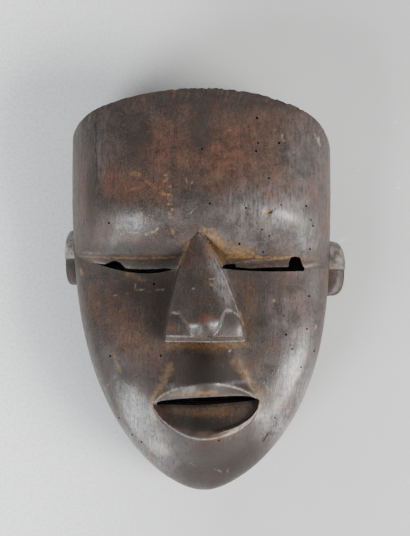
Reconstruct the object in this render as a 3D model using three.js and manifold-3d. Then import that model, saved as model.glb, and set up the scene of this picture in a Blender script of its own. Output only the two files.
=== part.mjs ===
// Wooden face mask, carved from one block: a thick shell with slit eyes, a wedge nose, a rimmed oval mouth
// and two ear tabs, hollow behind.
// Millimetres. The mask lies on its back rim: +Z comes out of the face, +Y runs to the top edge and +X to the
// viewer's right. The origin is the middle of the rim plane. Left and right are the viewer's.
import * as THREE from "three";
import { mergeVertices } from "three/addons/utils/BufferGeometryUtils.js";
import Module from "manifold-3d";

const wasm = await Module();
wasm.setup();

// Driving dimensions
const LENGTH = 241; // chin to the middle of the top edge
const EAR_SPAN = 171; // over both ears
const FACE_Z = 64; // cheeks' middle over the rim plane
const BROW_Z = 80; // brow over the rim plane
const NOSE_Z = 94; // nose tip over the rim plane
const LIP_Z = 84; // upper lip over the rim plane
const WALL = 13; // from the widest outline in to the hollow

// The two sides of the outline differ: widest half-width, fullness of the jaw, roundness of the chin, how far
// the top edge falls from its middle towards the side, and how far its corner is rounded off.
const LEFT = { sign: -1, half: 80.4, jaw: 2.68, chin: 1.68, topDrop: 16.5, cornerDrop: 10.3 };
const RIGHT = { sign: 1, half: 76, jaw: 3.32, chin: 1.5, topDrop: 20, cornerDrop: 14 };
const TOP_CURVE = 1.9; // exponents of the top edge's fall and of its corners
const CORNER_CURVE = 12;
const Y_CHIN = -LENGTH / 2;
const Y_TOP = LENGTH / 2;
const Y_WIDE = 70; // level at which the jaw begins to close in
const Y_JAW = -88; // level at which the sides end and the chin's arc begins
const TEMPLE_BOW = 1; // how far the sides draw in from Y_WIDE to the top
const TUCK = { side: 0.955, chin: 0.965 }; // size of the rim plane against the outline

const clamp01 = (t) => Math.min(1, Math.max(0, t));
const mix = (a, b, t) => a + (b - a) * t;
const softMax = (a, b, k) => 0.5 * (a + b + Math.hypot(a - b, k));
const softMin = (a, b, k) => 0.5 * (a + b - Math.hypot(a - b, k));
const hump = (t, width) => Math.exp(-((t / width) ** 2));
const sideOf = (x) => (x < 0 ? LEFT : RIGHT);

// Distance in the front view from the line between two points
function lineDistance(x, y, [ax, ay], [bx, by]) {
  const along = clamp01(((x - ax) * (bx - ax) + (y - ay) * (by - ay)) / ((bx - ax) ** 2 + (by - ay) ** 2));
  return Math.hypot(x - mix(ax, bx, along), y - mix(ay, by, along));
}

function smoothStep(from, to, t) {
  const u = clamp01((t - from) / (to - from));
  return u * u * (3 - 2 * u);
}

// 1 at 0, falling to 0 with an upright end at 1
const roundedFall = (t, power) => (1 - clamp01(Math.abs(t)) ** power) ** (1 / power);

// Half-width of one side's outline at level y, for an outline as wide as `widest` that closes at yEnd
function halfWidth(side, widest, y, yEnd) {
  const down = clamp01((Y_WIDE - y) / (Y_WIDE - yEnd));
  const above = Math.max(0, y - Y_WIDE) / (Y_TOP - Y_WIDE);
  return widest * (1 - down ** side.jaw) ** (1 / side.chin) - TEMPLE_BOW * above ** 2;
}

// The level at which the same outline is x wide
function outlineLevel(side, widest, x, yEnd) {
  const across = clamp01(Math.abs(x) / widest);
  return Y_WIDE - (Y_WIDE - yEnd) * (1 - across ** side.chin) ** (1 / side.jaw);
}

// Share of the way from the middle to the outline
function acrossShare(x, y) {
  const side = sideOf(x);
  return x / Math.max(1, halfWidth(side, side.half, y, Y_CHIN));
}

// Height at which the outer wall stands upright, lower round the chin
const RIM_WALL = { chinZ: 20, sideZ: 31, from: -118, to: -30 };
const wallTop = (y) => mix(RIM_WALL.chinZ, RIM_WALL.sideZ, smoothStep(RIM_WALL.from, RIM_WALL.to, y));
const FEATURE_FADE = 3; // power with which bulges and hollows fade out towards the outline

// Forehead: falls back above its crest and below it, with a bulge over each eye and a low ridge down to the
// right temple
const CREST = { y: 56, round: 16, fall: 0.66, topFall: 16, topCurve: 1.5, fullness: 2.45 };
const BULGE = { y: 42, tall: 16, height: 3.2, left: { x: -38, wide: 25 }, right: { x: 42, wide: 27 } };
const RIDGE = { from: [34, 51], turn: [54, 42], to: [64, 25], wide: 6.5, height: 1.3, soft: 1 };

function foreheadHeight(x, y) {
  const above = CREST.topFall * (Math.max(0, y - CREST.y) / (Y_TOP - CREST.y)) ** CREST.topCurve;
  const below = CREST.fall * (Math.hypot(Math.max(0, CREST.y - y), CREST.round) - CREST.round);
  const sideways = hump(x - BULGE.left.x, BULGE.left.wide) + hump(x - BULGE.right.x, BULGE.right.wide);
  const bulge = BULGE.height * hump(y - BULGE.y, BULGE.tall) * sideways;
  const upper = lineDistance(x, y, RIDGE.from, RIDGE.turn);
  const lower = lineDistance(x, y, RIDGE.turn, RIDGE.to);
  const ridge = RIDGE.height * hump(softMin(upper, lower, RIDGE.soft), RIDGE.wide);
  const edge = wallTop(y);
  const across = acrossShare(x, y);
  const dome = (BROW_Z - above - edge) * roundedFall(across, CREST.fullness);
  return edge + dome + (bulge + ridge - below) * roundedFall(across, FEATURE_FADE);
}

// Cheeks and chin, hollowed along the eyes
const EYE = { y: 15, depth: 8.5, fade: 30, lift: 0.0026, liftFrom: -32 };
const CHEEK = { fullness: 3.2, chinFrom: -38, chinCurve: 2.5 };

function cheekHeight(x, y) {
  const edge = wallTop(y);
  const down = clamp01((CHEEK.chinFrom - y) / (CHEEK.chinFrom - Y_CHIN));
  const crown = (FACE_Z - edge) * roundedFall(down, CHEEK.chinCurve);
  const nearEye = y < EYE.y ? hump(y - EYE.y, EYE.fade) : 1;
  const across = acrossShare(x, y);
  const hollowed = EYE.depth * nearEye * roundedFall(across, FEATURE_FADE);
  return edge + crown * roundedFall(across, CHEEK.fullness) - hollowed;
}

// The flat along the left jaw: a plane through a point, rising at a slope in a direction of the front view,
// that bends up where the chin begins
const JAW_FLAT = { x: -46, y: -87, z: 47, slope: 0.54, heading: (42 * Math.PI) / 180, edge: 2 };
const JAW_END = { x: -17, bend: 0.8, soft: 8 };

function jawFlatHeight(x, y) {
  const [dx, dy] = [x - JAW_FLAT.x, y - JAW_FLAT.y];
  const inward = dx * Math.cos(JAW_FLAT.heading) + dy * Math.sin(JAW_FLAT.heading);
  return JAW_FLAT.z + JAW_FLAT.slope * inward + JAW_END.bend * softMax(x - JAW_END.x, 0, JAW_END.soft);
}

// The brow's lower edge rises to a point at the root of the nose.
const BROW = { left: 23.4, right: 21.8, blend: 12, rise: 14, x: -3, wideLeft: 6.8, wideRight: 11 };
const BROW_WALL = { tilt: 0.25, crease: 0.16, edge: 0.07 };
const browRise = (x) => BROW.rise * hump(x - BROW.x, x < BROW.x ? BROW.wideLeft : BROW.wideRight);

// The step from the cheeks up to the brow: 0 below the slits and 1 on the forehead
function browShare(x, y) {
  const top = mix(BROW.left, BROW.right, smoothStep(-BROW.blend, BROW.blend, x)) + browRise(x);
  const lift = EYE.lift * Math.max(0, EYE.liftFrom - x) ** 2;
  const bottom = EYE.y + lift + BROW_WALL.tilt * browRise(x);
  const up = (y - bottom) / (top - bottom);
  return clamp01(softMin(softMax(up, 0, BROW_WALL.crease), 1, BROW_WALL.edge));
}

// Nose: a wedge with a rounded top between two edges, a swelling at its tip and a bevelled strip at its base
const NOSE = {
  yRoot: 35.6,
  yBridge: 22,
  yTip: -14,
  yBevel: -22.7,
  yBase: -26.2,
  rootZ: 73,
  bevel: 4,
  wallSlope: 12,
  wallWide: 3.5,
  footZ: 46,
};
const NOSE_WIDTH = { least: 0.2, bridge: 8.85, spread: 0.4233, curve: 0.00305, rootCurve: 4 };
const NOSE_LEAN = { root: -3.5, tip: -0.5, yRoot: 30, length: 40, base: 0.6 };
const NOSE_TOP = { rise: 1.15, rootSag: 2.2, tipSag: 8.5, sagCurve: 2.3, soft: 0.16 };
const TIP_FALL = { from: -13.5, curve: 0.065 };
const BULB = { y: -14, wide: 9, tall: 8, height: 2.4 };
const NOSE_STRIP = { z: 89, arch: 0.012 };
// The flat on the nose's right side: its upper edge, its slope and where it begins under the root
const FLANK = { from: [-1, 30], to: [12.4, -7], slope: 0.46, soft: 2.6, yNone: 34, yFull: 26 };

function noseMiddle(y) {
  const down = clamp01((NOSE_LEAN.yRoot - y) / NOSE_LEAN.length);
  return mix(NOSE_LEAN.root, NOSE_LEAN.tip, down) + NOSE_LEAN.base * smoothStep(NOSE.yTip, NOSE.yBase, y);
}

function noseHalfWidth(y) {
  const down = NOSE.yBridge - y;
  const up = clamp01(-down / (NOSE.yRoot - NOSE.yBridge));
  const wide = NOSE_WIDTH.bridge + NOSE_WIDTH.spread * down - NOSE_WIDTH.curve * down ** 2;
  return NOSE_WIDTH.least + wide * Math.sqrt(1 - up ** NOSE_WIDTH.rootCurve);
}

function flankFall(x, y) {
  const [[ax, ay], [bx, by]] = [FLANK.from, FLANK.to];
  const past = ((x - ax) * (ay - by) + (y - ay) * (bx - ax)) / Math.hypot(bx - ax, by - ay);
  return FLANK.slope * softMax(past, 0, FLANK.soft) * smoothStep(FLANK.yNone, FLANK.yFull, y);
}

// The upper edge of the strip along the nose's base
const stripHeight = (x) => NOSE_STRIP.z - NOSE_STRIP.arch * x ** 2;

function noseHeight(x, y) {
  const half = noseHalfWidth(y);
  const off = Math.abs(x - noseMiddle(y));
  const along = Math.max(0, softMin((NOSE.yRoot - y) / (NOSE.yRoot - NOSE.yTip), 1, NOSE_TOP.soft));
  const sag = mix(NOSE_TOP.rootSag, NOSE_TOP.tipSag, along) * Math.min(off / half, 1) ** NOSE_TOP.sagCurve;
  const bulb = BULB.height * hump(off, BULB.wide) * hump(y - BULB.y, BULB.tall);
  const tipFall = TIP_FALL.curve * Math.max(0, TIP_FALL.from - y) ** 2;
  const top = mix(NOSE.rootZ, NOSE_Z, along ** NOSE_TOP.rise) - sag + bulb - tipFall - flankFall(x, y);
  const strip = stripHeight(x) - (NOSE.bevel * (NOSE.yBevel - y)) / (NOSE.yBevel - NOSE.yBase);
  const wall = NOSE.wallSlope * Math.max(0, off - half);
  return Math.max(NOSE.footZ, (y > NOSE.yBevel ? top : strip) - wall);
}

// Mouth: an almond whose rim stands out of the face, with a wide upper lip over a slit and a bowl below it.
// Pairs of values belong to its left and right half.
const MOUTH = { x: 0.6, y: -62.7, half: 30.9, tilt: 0.047, cornerZ: 61, lowerZ: 76.5 };
const LIP = { up: 13.5, down: 19.2, upper: 8.2, slit: 0.5 };
const LIP_ROLL = { height: [3, 4.6], curve: [1.5, 0.75], from: -2, to: 22 };
const BOWL = { deep: 14, curve: 1.25, endCurve: 0.6 };
const LIP_CURVES = { up: [0.68, 0.92], down: [0.7, 0.45], edge: [0.7, 1.15], blend: 20 };
const RIM = { wide: [3.2, 5.4], from: -22, to: 4, endCurve: 0.4, roll: [1.2, 2.3], rollFrom: 0, rollTo: 14 };
const MOUTH_RISE = { ridge: 1.1, rim: 0.8 };
const MUZZLE = { slope: 0.78, wide: 31, taper: 0.62, curve: 0.006, sideSlope: 1.6, length: 34 };
const UNDER_LIP = { slope: 0.7, curve: 0.026, side: 0.5, back: 2, backFrom: -4, blend: 6, fade: 4 };
const UNDER_SOFT = { corner: 0.35, side: 12, below: 3, back: 8 };

// Levels of the mouth's curves at x, from the line between its corners, and the heights along them. A soft
// value over 0 rounds the curves off beyond the corners.
function mouthCurves(x, soft = 0) {
  const u = (x - MOUTH.x) / MOUTH.half;
  const inside = softMax(1 - u * u, 0, soft);
  const toRight = smoothStep(-LIP_CURVES.blend, LIP_CURVES.blend, x);
  const curve = ([left, right]) => inside ** mix(left, right, toRight);
  const up = LIP.up * curve(LIP_CURVES.up);
  const down = LIP.down * curve(LIP_CURVES.down);
  const rimWide = mix(...RIM.wide, smoothStep(RIM.from, RIM.to, x));
  return {
    inside,
    middle: MOUTH.y + MOUTH.tilt * (x - MOUTH.x),
    up,
    lipEdge: up - LIP.upper * curve(LIP_CURVES.edge),
    slitEnd: -LIP.slit * inside,
    rimIn: -down + rimWide * inside ** RIM.endCurve,
    down,
    ridgeZ: mix(MOUTH.cornerZ, LIP_Z, inside ** MOUTH_RISE.ridge),
    rimZ: mix(MOUTH.cornerZ, MOUTH.lowerZ, inside ** MOUTH_RISE.rim),
  };
}

// The upper lip, rolled between its ridge and its edge, and the plane above it that falls to the nose and the
// cheeks
function upperLipHeight(x, y) {
  const m = mouthCurves(x);
  const v = y - m.middle;
  const above = Math.max(0, v);
  const width = MUZZLE.wide - MUZZLE.taper * above + MUZZLE.curve * above ** 2;
  const sideFall = MUZZLE.sideSlope * Math.max(0, Math.abs(x - MOUTH.x) - width);
  const toRight = smoothStep(LIP_ROLL.from, LIP_ROLL.to, x);
  const under = clamp01((m.up - v) / (m.up - m.lipEdge));
  const roll = mix(...LIP_ROLL.height, toRight) * under ** mix(...LIP_ROLL.curve, toRight);
  return m.ridgeZ - MUZZLE.slope * Math.max(0, v - m.up) - sideFall - roll;
}

// The mound under the lower lip, level with its rim and falling away all round
function underLipHeight(x, y) {
  const m = mouthCurves(x, UNDER_SOFT.corner);
  const v = y - m.middle;
  const beside = softMax(Math.abs(x - MOUTH.x) - MOUTH.half, 0, UNDER_SOFT.side);
  const below = softMax(-m.down - v, 0, UNDER_SOFT.below);
  const behind = softMax(v - UNDER_LIP.backFrom, 0, UNDER_SOFT.back);
  const fall = UNDER_LIP.slope * below + UNDER_LIP.curve * below ** 2;
  return m.rimZ - UNDER_LIP.side * beside - UNDER_LIP.back * behind - fall;
}

// The face without its features, with the mound of the lower lip blended in
function groundHeight(x, y) {
  const face = mix(cheekHeight(x, y), foreheadHeight(x, y), browShare(x, y));
  const mound = softMax(face, underLipHeight(x, y), UNDER_LIP.blend) - face;
  const raised = face + mound * (1 - clamp01(Math.abs(acrossShare(x, y))) ** UNDER_LIP.fade);
  return softMin(raised, jawFlatHeight(x, y), JAW_FLAT.edge);
}

// The floor of the open mouth: a bevel along the rim, then the bowl
function mouthFloor(x, y) {
  const m = mouthCurves(x);
  const v = y - m.middle;
  const rimZ = groundHeight(x, m.middle - m.down);
  const rimToRidge = mix(rimZ, m.ridgeZ, clamp01((v + m.down) / (m.up + m.down)));
  const roll = mix(...RIM.roll, smoothStep(RIM.rollFrom, RIM.rollTo, x));
  const bevel = roll * clamp01((v + m.down) / (m.rimIn + m.down));
  const fromRim = clamp01((v - m.rimIn) / (m.slitEnd - m.rimIn));
  return rimToRidge - bevel - BOWL.deep * m.inside ** BOWL.endCurve * (1 - (1 - fromRim) ** BOWL.curve);
}

// A closed geometry as a manifold-3d solid
function manifoldOf(geometry) {
  const bare = geometry.index ? geometry.toNonIndexed() : geometry.clone();
  bare.deleteAttribute("normal");
  bare.deleteAttribute("uv");
  const merged = mergeVertices(bare, 1e-4);
  const triVerts = new Uint32Array(merged.index.array);
  const vertProperties = merged.attributes.position.array;
  return new wasm.Manifold(new wasm.Mesh({ numProp: 3, vertProperties, triVerts }));
}

// Whole numbers from 0 to n as shares of n
const steps = (n) => Array.from({ length: n + 1 }, (_, i) => i / n);

// Joins a closed loop of points to a coarser loop below it, of every `stride`th point
function skirt(corners, edge, foot, stride) {
  const edgeAt = (i) => edge[i % edge.length];
  foot.forEach((point, k) => {
    const next = foot[(k + 1) % foot.length];
    const start = k * stride;
    const end = Math.min(start + stride, edge.length);
    const middle = Math.ceil((start + end) / 2);
    for (let i = start; i < middle; i++) corners.push(...point, ...edgeAt(i + 1), ...edgeAt(i));
    corners.push(...point, ...next, ...edgeAt(middle));
    for (let i = middle; i < end; i++) corners.push(...next, ...edgeAt(i + 1), ...edgeAt(i));
  });
}

const distance = (a, b) => Math.hypot(a[0] - b[0], a[1] - b[1], a[2] - b[2]);

// A block with a carved top: pointAt(column, row) gives a point of the top as [x, y, z], and footAt the point
// of the flat underside below a point of its edge.
function carvedBlock(columns, rows, pointAt, footAt, stride) {
  const corners = [];
  const grid = rows.map((row) => columns.map((column) => pointAt(column, row)));
  const last = columns.length - 1;
  const face = (a, b, c) => corners.push(...a, ...b, ...c);
  for (let j = 0; j + 1 < rows.length; j++)
    for (let i = 0; i < last; i++) {
      const [a, b, c, d] = [grid[j][i], grid[j][i + 1], grid[j + 1][i + 1], grid[j + 1][i]];
      const halves = distance(b, d) < distance(a, c) ? [[a, b, d], [b, c, d]] : [[a, b, c], [a, c, d]];
      halves.forEach((half) => face(...half));
    }
  const between = grid.slice(1, -1);
  const edge = [
    ...grid[0],
    ...between.map((row) => row[last]),
    ...[...grid[rows.length - 1]].reverse(),
    ...between.map((row) => row[0]).reverse(),
  ];
  const foot = edge.filter((_, i) => i % stride === 0).map(footAt);
  skirt(corners, edge, foot, stride);
  const flat = foot.map(([x, y]) => new THREE.Vector2(x, y));
  THREE.ShapeUtils.triangulateShape(flat, []).forEach(([a, b, c]) => face(foot[c], foot[b], foot[a]));
  const loose = new THREE.BufferGeometry();
  loose.setAttribute("position", new THREE.Float32BufferAttribute(corners, 3));
  return manifoldOf(loose);
}

// Levels from the chin to the top, closer together at the brow, the chin and the jaw
const FACE_GRID = { columns: 44, rows: 52, stride: 3, samples: 600 };
const ROWS_WANTED = [
  { y: 19, wide: 7, more: 2.4 },
  { y: 38, wide: 14, more: 1.2 },
  { y: -118, wide: 14, more: 1.8 },
];

function faceRows(count) {
  const density = (y) => ROWS_WANTED.reduce((sum, at) => sum + at.more * hump(y - at.y, at.wide), 0.7);
  const fine = steps(FACE_GRID.samples).map((t) => mix(Y_CHIN, Y_TOP, t));
  const sums = [0];
  fine.forEach((y, i) => sums.push(sums[i] + density(y)));
  const whole = sums[FACE_GRID.samples];
  return steps(count).map((share) => {
    const above = sums.findIndex((sum) => sum >= share * whole - 1e-9);
    return share === 0 ? Y_CHIN : fine[Math.min(above, FACE_GRID.samples)];
  });
}

// A point of the face's grid: s runs from -1 to 1 across. Rows follow the chin's arc at the bottom, the
// brow's lower edge at the eyes and the arched top edge at the top.
const ROW_BENDS = { chinTo: -10, chinCurve: 1.3, topFrom: 30 };
const BROW_BEND = { share: 0.8, from: 16, full: 24, to: 80 };

function facePoint(s, level) {
  const side = sideOf(s);
  const lift = (1 - smoothStep(Y_CHIN, ROW_BENDS.chinTo, level)) ** ROW_BENDS.chinCurve;
  const drop = smoothStep(ROW_BENDS.topFrom, Y_TOP, level);
  const toBrow = smoothStep(BROW_BEND.from, BROW_BEND.full, level);
  const bend = BROW_BEND.share * toBrow * smoothStep(BROW_BEND.to, BROW_BEND.full, level);
  const jaw = halfWidth(side, side.half, Y_JAW, Y_CHIN);
  const endLevel = level + lift * (Y_JAW - Y_CHIN) - drop * (side.topDrop + side.cornerDrop);
  const half = halfWidth(side, side.half, endLevel, Y_CHIN);
  const reach = Math.sin((Math.PI / 2) * Math.abs(s)) ** 0.9;
  const x = side.sign * half * reach;
  const arc = outlineLevel(side, side.half, reach * jaw, Y_CHIN) - Y_CHIN;
  const fall = side.topDrop * reach ** TOP_CURVE + side.cornerDrop * reach ** CORNER_CURVE;
  const y = level + lift * arc - drop * fall + bend * browRise(x);
  return [x, y, groundHeight(x, y)];
}

function faceBlock() {
  const columns = steps(FACE_GRID.columns).map((t) => 2 * t - 1);
  const footAt = ([x, y]) => [x * TUCK.side, y > 0 ? y : y * TUCK.chin, 0];
  return carvedBlock(columns, faceRows(FACE_GRID.rows), facePoint, footAt, FACE_GRID.stride);
}

// The nose's grid runs over its top between the edges and down its walls.
const NOSE_GRID = { columns: 20, rows: 16, edgeAt: 0.8 };

function nosePoint(s, y) {
  const half = noseHalfWidth(y);
  const share = Math.abs(s);
  const overTop = (half * share) / NOSE_GRID.edgeAt;
  const downWall = half + (NOSE.wallWide * (share - NOSE_GRID.edgeAt)) / (1 - NOSE_GRID.edgeAt);
  const x = noseMiddle(y) + Math.sign(s) * (share <= NOSE_GRID.edgeAt ? overTop : downWall);
  return [x, y, noseHeight(x, y)];
}

const belowFoot = ([x, y]) => [x, y, NOSE.footZ - 4];

function noseBlock() {
  const columns = steps(NOSE_GRID.columns).map((t) => 2 * t - 1);
  const upper = steps(NOSE_GRID.rows).map((t) => mix(NOSE.yBevel, NOSE.yRoot, t ** 1.1));
  return carvedBlock(columns, [NOSE.yBase, ...upper], nosePoint, belowFoot, 1);
}

// A closed prism along Z over a front-view outline, with the underside at the heights underAt(x, y)
function cutter(outline, top, underAt) {
  const shape = new THREE.Shape(outline.map(([x, y]) => new THREE.Vector2(x, y)));
  const geometry = new THREE.ExtrudeGeometry(shape, { depth: top, bevelEnabled: false });
  const position = geometry.attributes.position;
  for (let i = 0; i < position.count; i++)
    if (position.getZ(i) === 0) position.setZ(i, underAt(position.getX(i), position.getY(i)));
  return manifoldOf(geometry);
}

// Facets cut into the nose's two lower corners, leaving its rounded tip between them. Each floor rises to the
// strip along the nose's base.
const CUT_TOP = 120;
const NOSTRIL = { yTop: -8, yEnd: -22.6, rise: 2.6 };
const LEFT_NOSTRIL = [[-25, -9.8], [-14.6, -9.3], [-11.8, -13.5], [-9, -18], [-6.2, -22.6], [-25, -22.6]];
const RIGHT_NOSTRIL = [
  [25, -17],
  [19.6, -12.6],
  [15.7, -8.7],
  [12.9, -7.9],
  [10.7, -9.3],
  [9.5, -12.4],
  [7.9, -16.3],
  [6.2, -19.1],
  [3.9, -22.6],
  [25, -22.6],
];

function nostrilFloor(x, y) {
  const fromBase = clamp01((y - NOSTRIL.yEnd) / (NOSTRIL.yTop - NOSTRIL.yEnd));
  return stripHeight(x) - NOSTRIL.rise * fromBase;
}

// The sloping lid cut back over the right eye's slit
const LID = { z: 57, slope: 0.5, y: 16 };
const LID_OUTLINE = [[18, 16], [49, 16], [49, 21.1], [33.2, 20.5], [26.2, 19.6], [18, 18.3]];
const lidPlane = (x, y) => LID.z + LID.slope * (y - LID.y);

// Levels of a grid's rows at x, evenly spaced between stops along the mouth's curves
function rowBetween(stops, row) {
  const from = Math.min(Math.floor(row), stops.length - 2);
  return mix(stops[from], stops[from + 1], row - from);
}

const rowsBetween = (counts) => [
  ...counts.flatMap((count, i) => steps(count).slice(0, -1).map((t) => i + t)),
  counts.length,
];
const MOUTH_GRID = { columns: 28, lipReach: 0.985, bowlReach: 0.995 };
const mouthColumns = (reach) =>
  steps(MOUTH_GRID.columns).map((t) => MOUTH.x + reach * MOUTH.half * Math.sin(Math.PI * (t - 0.5)));

function upperLipBlock() {
  const pointAt = (x, row) => {
    const m = mouthCurves(x);
    const y = m.middle + rowBetween([m.lipEdge, m.up, m.up + MUZZLE.length], row);
    return [x, y, Math.max(NOSE.footZ, upperLipHeight(x, y))];
  };
  return carvedBlock(mouthColumns(MOUTH_GRID.lipReach), rowsBetween([3, 6]), pointAt, belowFoot, 1);
}

// The space inside the mouth, above its floor; built upside down and turned over
function mouthSpace() {
  const footAt = ([x, y]) => [x, y, -CUT_TOP];
  const pointAt = (x, row) => {
    const m = mouthCurves(x);
    const y = m.middle + rowBetween([-m.down, m.rimIn, m.slitEnd, m.lipEdge], row);
    return [x, y, -mouthFloor(x, y)];
  };
  const space = carvedBlock(mouthColumns(MOUTH_GRID.bowlReach), rowsBetween([1, 6, 1]), pointAt, footAt, 1);
  return space.scale([1, 1, -1]);
}

// The hollow behind the face, from below the rim plane
const HOLLOW = { yChin: -106, yJaw: -78, yTop: 106, floor: -8, wallZ: 16, flare: 1.03 };
const HOLLOW_GRID = { columns: 18, rows: 18 };
const CROWN = { z: 50, more: 9, from: 18, full: 62, chinFrom: -30, chinCurve: 2.2, fullness: 2.4 };

function hollowHeight(x, y) {
  const side = sideOf(x);
  const half = Math.max(1, halfWidth(side, side.half - WALL, y, HOLLOW.yChin));
  const swell = smoothStep(CROWN.from, CROWN.full, y) - smoothStep(CROWN.full, HOLLOW.yTop, y);
  const down = clamp01((CROWN.chinFrom - y) / (CROWN.chinFrom - HOLLOW.yChin));
  const rise = roundedFall(down, CROWN.chinCurve) * roundedFall(x / half, CROWN.fullness);
  return HOLLOW.wallZ + (CROWN.z + CROWN.more * swell - HOLLOW.wallZ) * rise;
}

function hollowPoint(s, t) {
  const side = sideOf(s);
  const widest = side.half - WALL;
  const level = mix(HOLLOW.yChin, HOLLOW.yTop, 0.5 - 0.5 * Math.cos(Math.PI * t));
  const lift = (1 - smoothStep(HOLLOW.yChin, ROW_BENDS.chinTo - 10, level)) ** ROW_BENDS.chinCurve;
  const jaw = halfWidth(side, widest, HOLLOW.yJaw, HOLLOW.yChin);
  const reach = Math.sin((Math.PI / 2) * Math.abs(s));
  const half = halfWidth(side, widest, level + lift * (HOLLOW.yJaw - HOLLOW.yChin), HOLLOW.yChin);
  const x = side.sign * half * reach;
  const arc = outlineLevel(side, widest, reach * jaw, HOLLOW.yChin) - HOLLOW.yChin;
  const drop = side.topDrop * reach ** TOP_CURVE * smoothStep(ROW_BENDS.topFrom, HOLLOW.yTop, level);
  const y = level + lift * arc - drop;
  return [x, y, hollowHeight(x, y)];
}

function hollowBlock() {
  const columns = steps(HOLLOW_GRID.columns).map((t) => 2 * t - 1);
  const footAt = ([x, y]) => [x * HOLLOW.flare, y, HOLLOW.floor];
  return carvedBlock(columns, steps(HOLLOW_GRID.rows), hollowPoint, footAt, 1);
}

// Slits: thin crescents through the wall. The upper edge of each eye's slit is broken.
const SLIT_FROM = 20;
const throughCut = (outline) => cutter(outline, CUT_TOP, () => SLIT_FROM);

function curvePoints(start, control, end, count) {
  const along = (t, i) => (1 - t) ** 2 * start[i] + 2 * t * (1 - t) * control[i] + t ** 2 * end[i];
  return steps(count).map((t) => [along(t, 0), along(t, 1)]);
}

const LEFT_SLIT = [
  ...curvePoints([-64.4, 18.4], [-37, 7], [-18.7, 15.3], 8),
  [-29, 15.7],
  [-46.3, 15.7],
  [-48, 16.9],
  [-49.8, 18.6],
  [-52.1, 19.8],
  [-54.5, 19.9],
  [-56.8, 18.9],
];
const RIGHT_SLIT = [
  ...curvePoints([10, 15.4], [27, 11.9], [58.4, 13.3], 8),
  [59, 15.1],
  [56, 18.9],
  [55.2, 21],
  [54, 22.2],
  [52.2, 22.3],
  [50.5, 21.6],
  [49.3, 19.5],
  [49.1, 16.3],
  [26.4, 15.5],
  [18.2, 16.3],
  [17.9, 18],
  [13.5, 17.9],
];
const MOUTH_SLIT = { left: -0.93, right: 0.95, count: 12, lower: 0.1, upper: 0.3 };

function mouthSlit() {
  const shares = steps(MOUTH_SLIT.count).map((t) => mix(MOUTH_SLIT.left, MOUTH_SLIT.right, t));
  const across = shares.map((share) => MOUTH.x + MOUTH.half * share);
  const lower = across.map((x) => [x, mouthCurves(x).middle + mouthCurves(x).slitEnd + MOUTH_SLIT.lower]);
  const upper = across.map((x) => [x, mouthCurves(x).middle + mouthCurves(x).lipEdge - MOUTH_SLIT.upper]);
  return throughCut([...lower, ...upper.reverse()]);
}

// Ears: half-round tabs on the side walls, the upper half a lobe that falls away, the lower half cut back
const EAR = { root: 8, half: 16.8, topZ: 35, footZ: 13, roundness: 2.9 };
const EAR_FALL = { lobe: 7, lower: 4.5, rim: 3.5 };
const EAR_Y = { left: 22.1, right: 15.4 };
const EAR_GRID = { rows: 6, crease: 0.02, across: [0, 0.3, 0.6, 0.85, 1] };

// s runs from the root in the side wall to the ear's edge and t from its lower to its upper end.
function earPoint(side, yMiddle, s, t) {
  const along = Math.sin((Math.PI / 2) * t);
  const reach = (EAR_SPAN / 2 - side.half) * roundedFall(along, EAR.roundness);
  const across = mix(-EAR.root, reach, s);
  const lobe = EAR_FALL.lobe * Math.max(0, along) ** 2;
  const cut = EAR_FALL.lower * smoothStep(2 * EAR_GRID.crease, -2 * EAR_GRID.crease, along);
  const rim = EAR_FALL.rim * s ** 4;
  return [side.sign * (side.half + across), yMiddle + EAR.half * along, EAR.topZ - lobe - cut - rim];
}

function ear(side, yMiddle) {
  const upper = [EAR_GRID.crease, ...steps(EAR_GRID.rows).slice(1)];
  const alongs = [...upper.map((t) => -t).reverse(), ...upper];
  const order = side === LEFT ? [...EAR_GRID.across].reverse() : EAR_GRID.across;
  const footAt = ([x, y]) => [x, y, EAR.footZ];
  return carvedBlock(order, alongs, (s, t) => earPoint(side, yMiddle, s, t), footAt, 1);
}

function maskGeometry() {
  const nostrils = [LEFT_NOSTRIL, RIGHT_NOSTRIL].map((outline) => cutter(outline, CUT_TOP, nostrilFloor));
  const nose = nostrils.reduce((block, facet) => block.subtract(facet), noseBlock());
  const lidded = faceBlock().subtract(cutter(LID_OUTLINE, CUT_TOP, lidPlane));
  const front = lidded.add(upperLipBlock()).subtract(mouthSpace()).add(nose);
  const eared = front.add(ear(LEFT, EAR_Y.left)).add(ear(RIGHT, EAR_Y.right)).subtract(hollowBlock());
  const slits = [throughCut(LEFT_SLIT), throughCut(RIGHT_SLIT), mouthSlit()];
  const mesh = slits.reduce((solid, slit) => solid.subtract(slit), eared).getMesh();
  const geometry = new THREE.BufferGeometry();
  geometry.setAttribute("position", new THREE.BufferAttribute(mesh.vertProperties, 3));
  geometry.setIndex(new THREE.BufferAttribute(mesh.triVerts, 1));
  geometry.computeVertexNormals();
  return geometry;
}

const wood = new THREE.MeshStandardMaterial({ color: 0x4a342a, roughness: 0.5, metalness: 0 });
const mask = new THREE.Mesh(maskGeometry(), wood);
mask.name = "mask";

const model = new THREE.Group();
model.add(mask);
export default model;
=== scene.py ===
from types import SimpleNamespace

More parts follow.
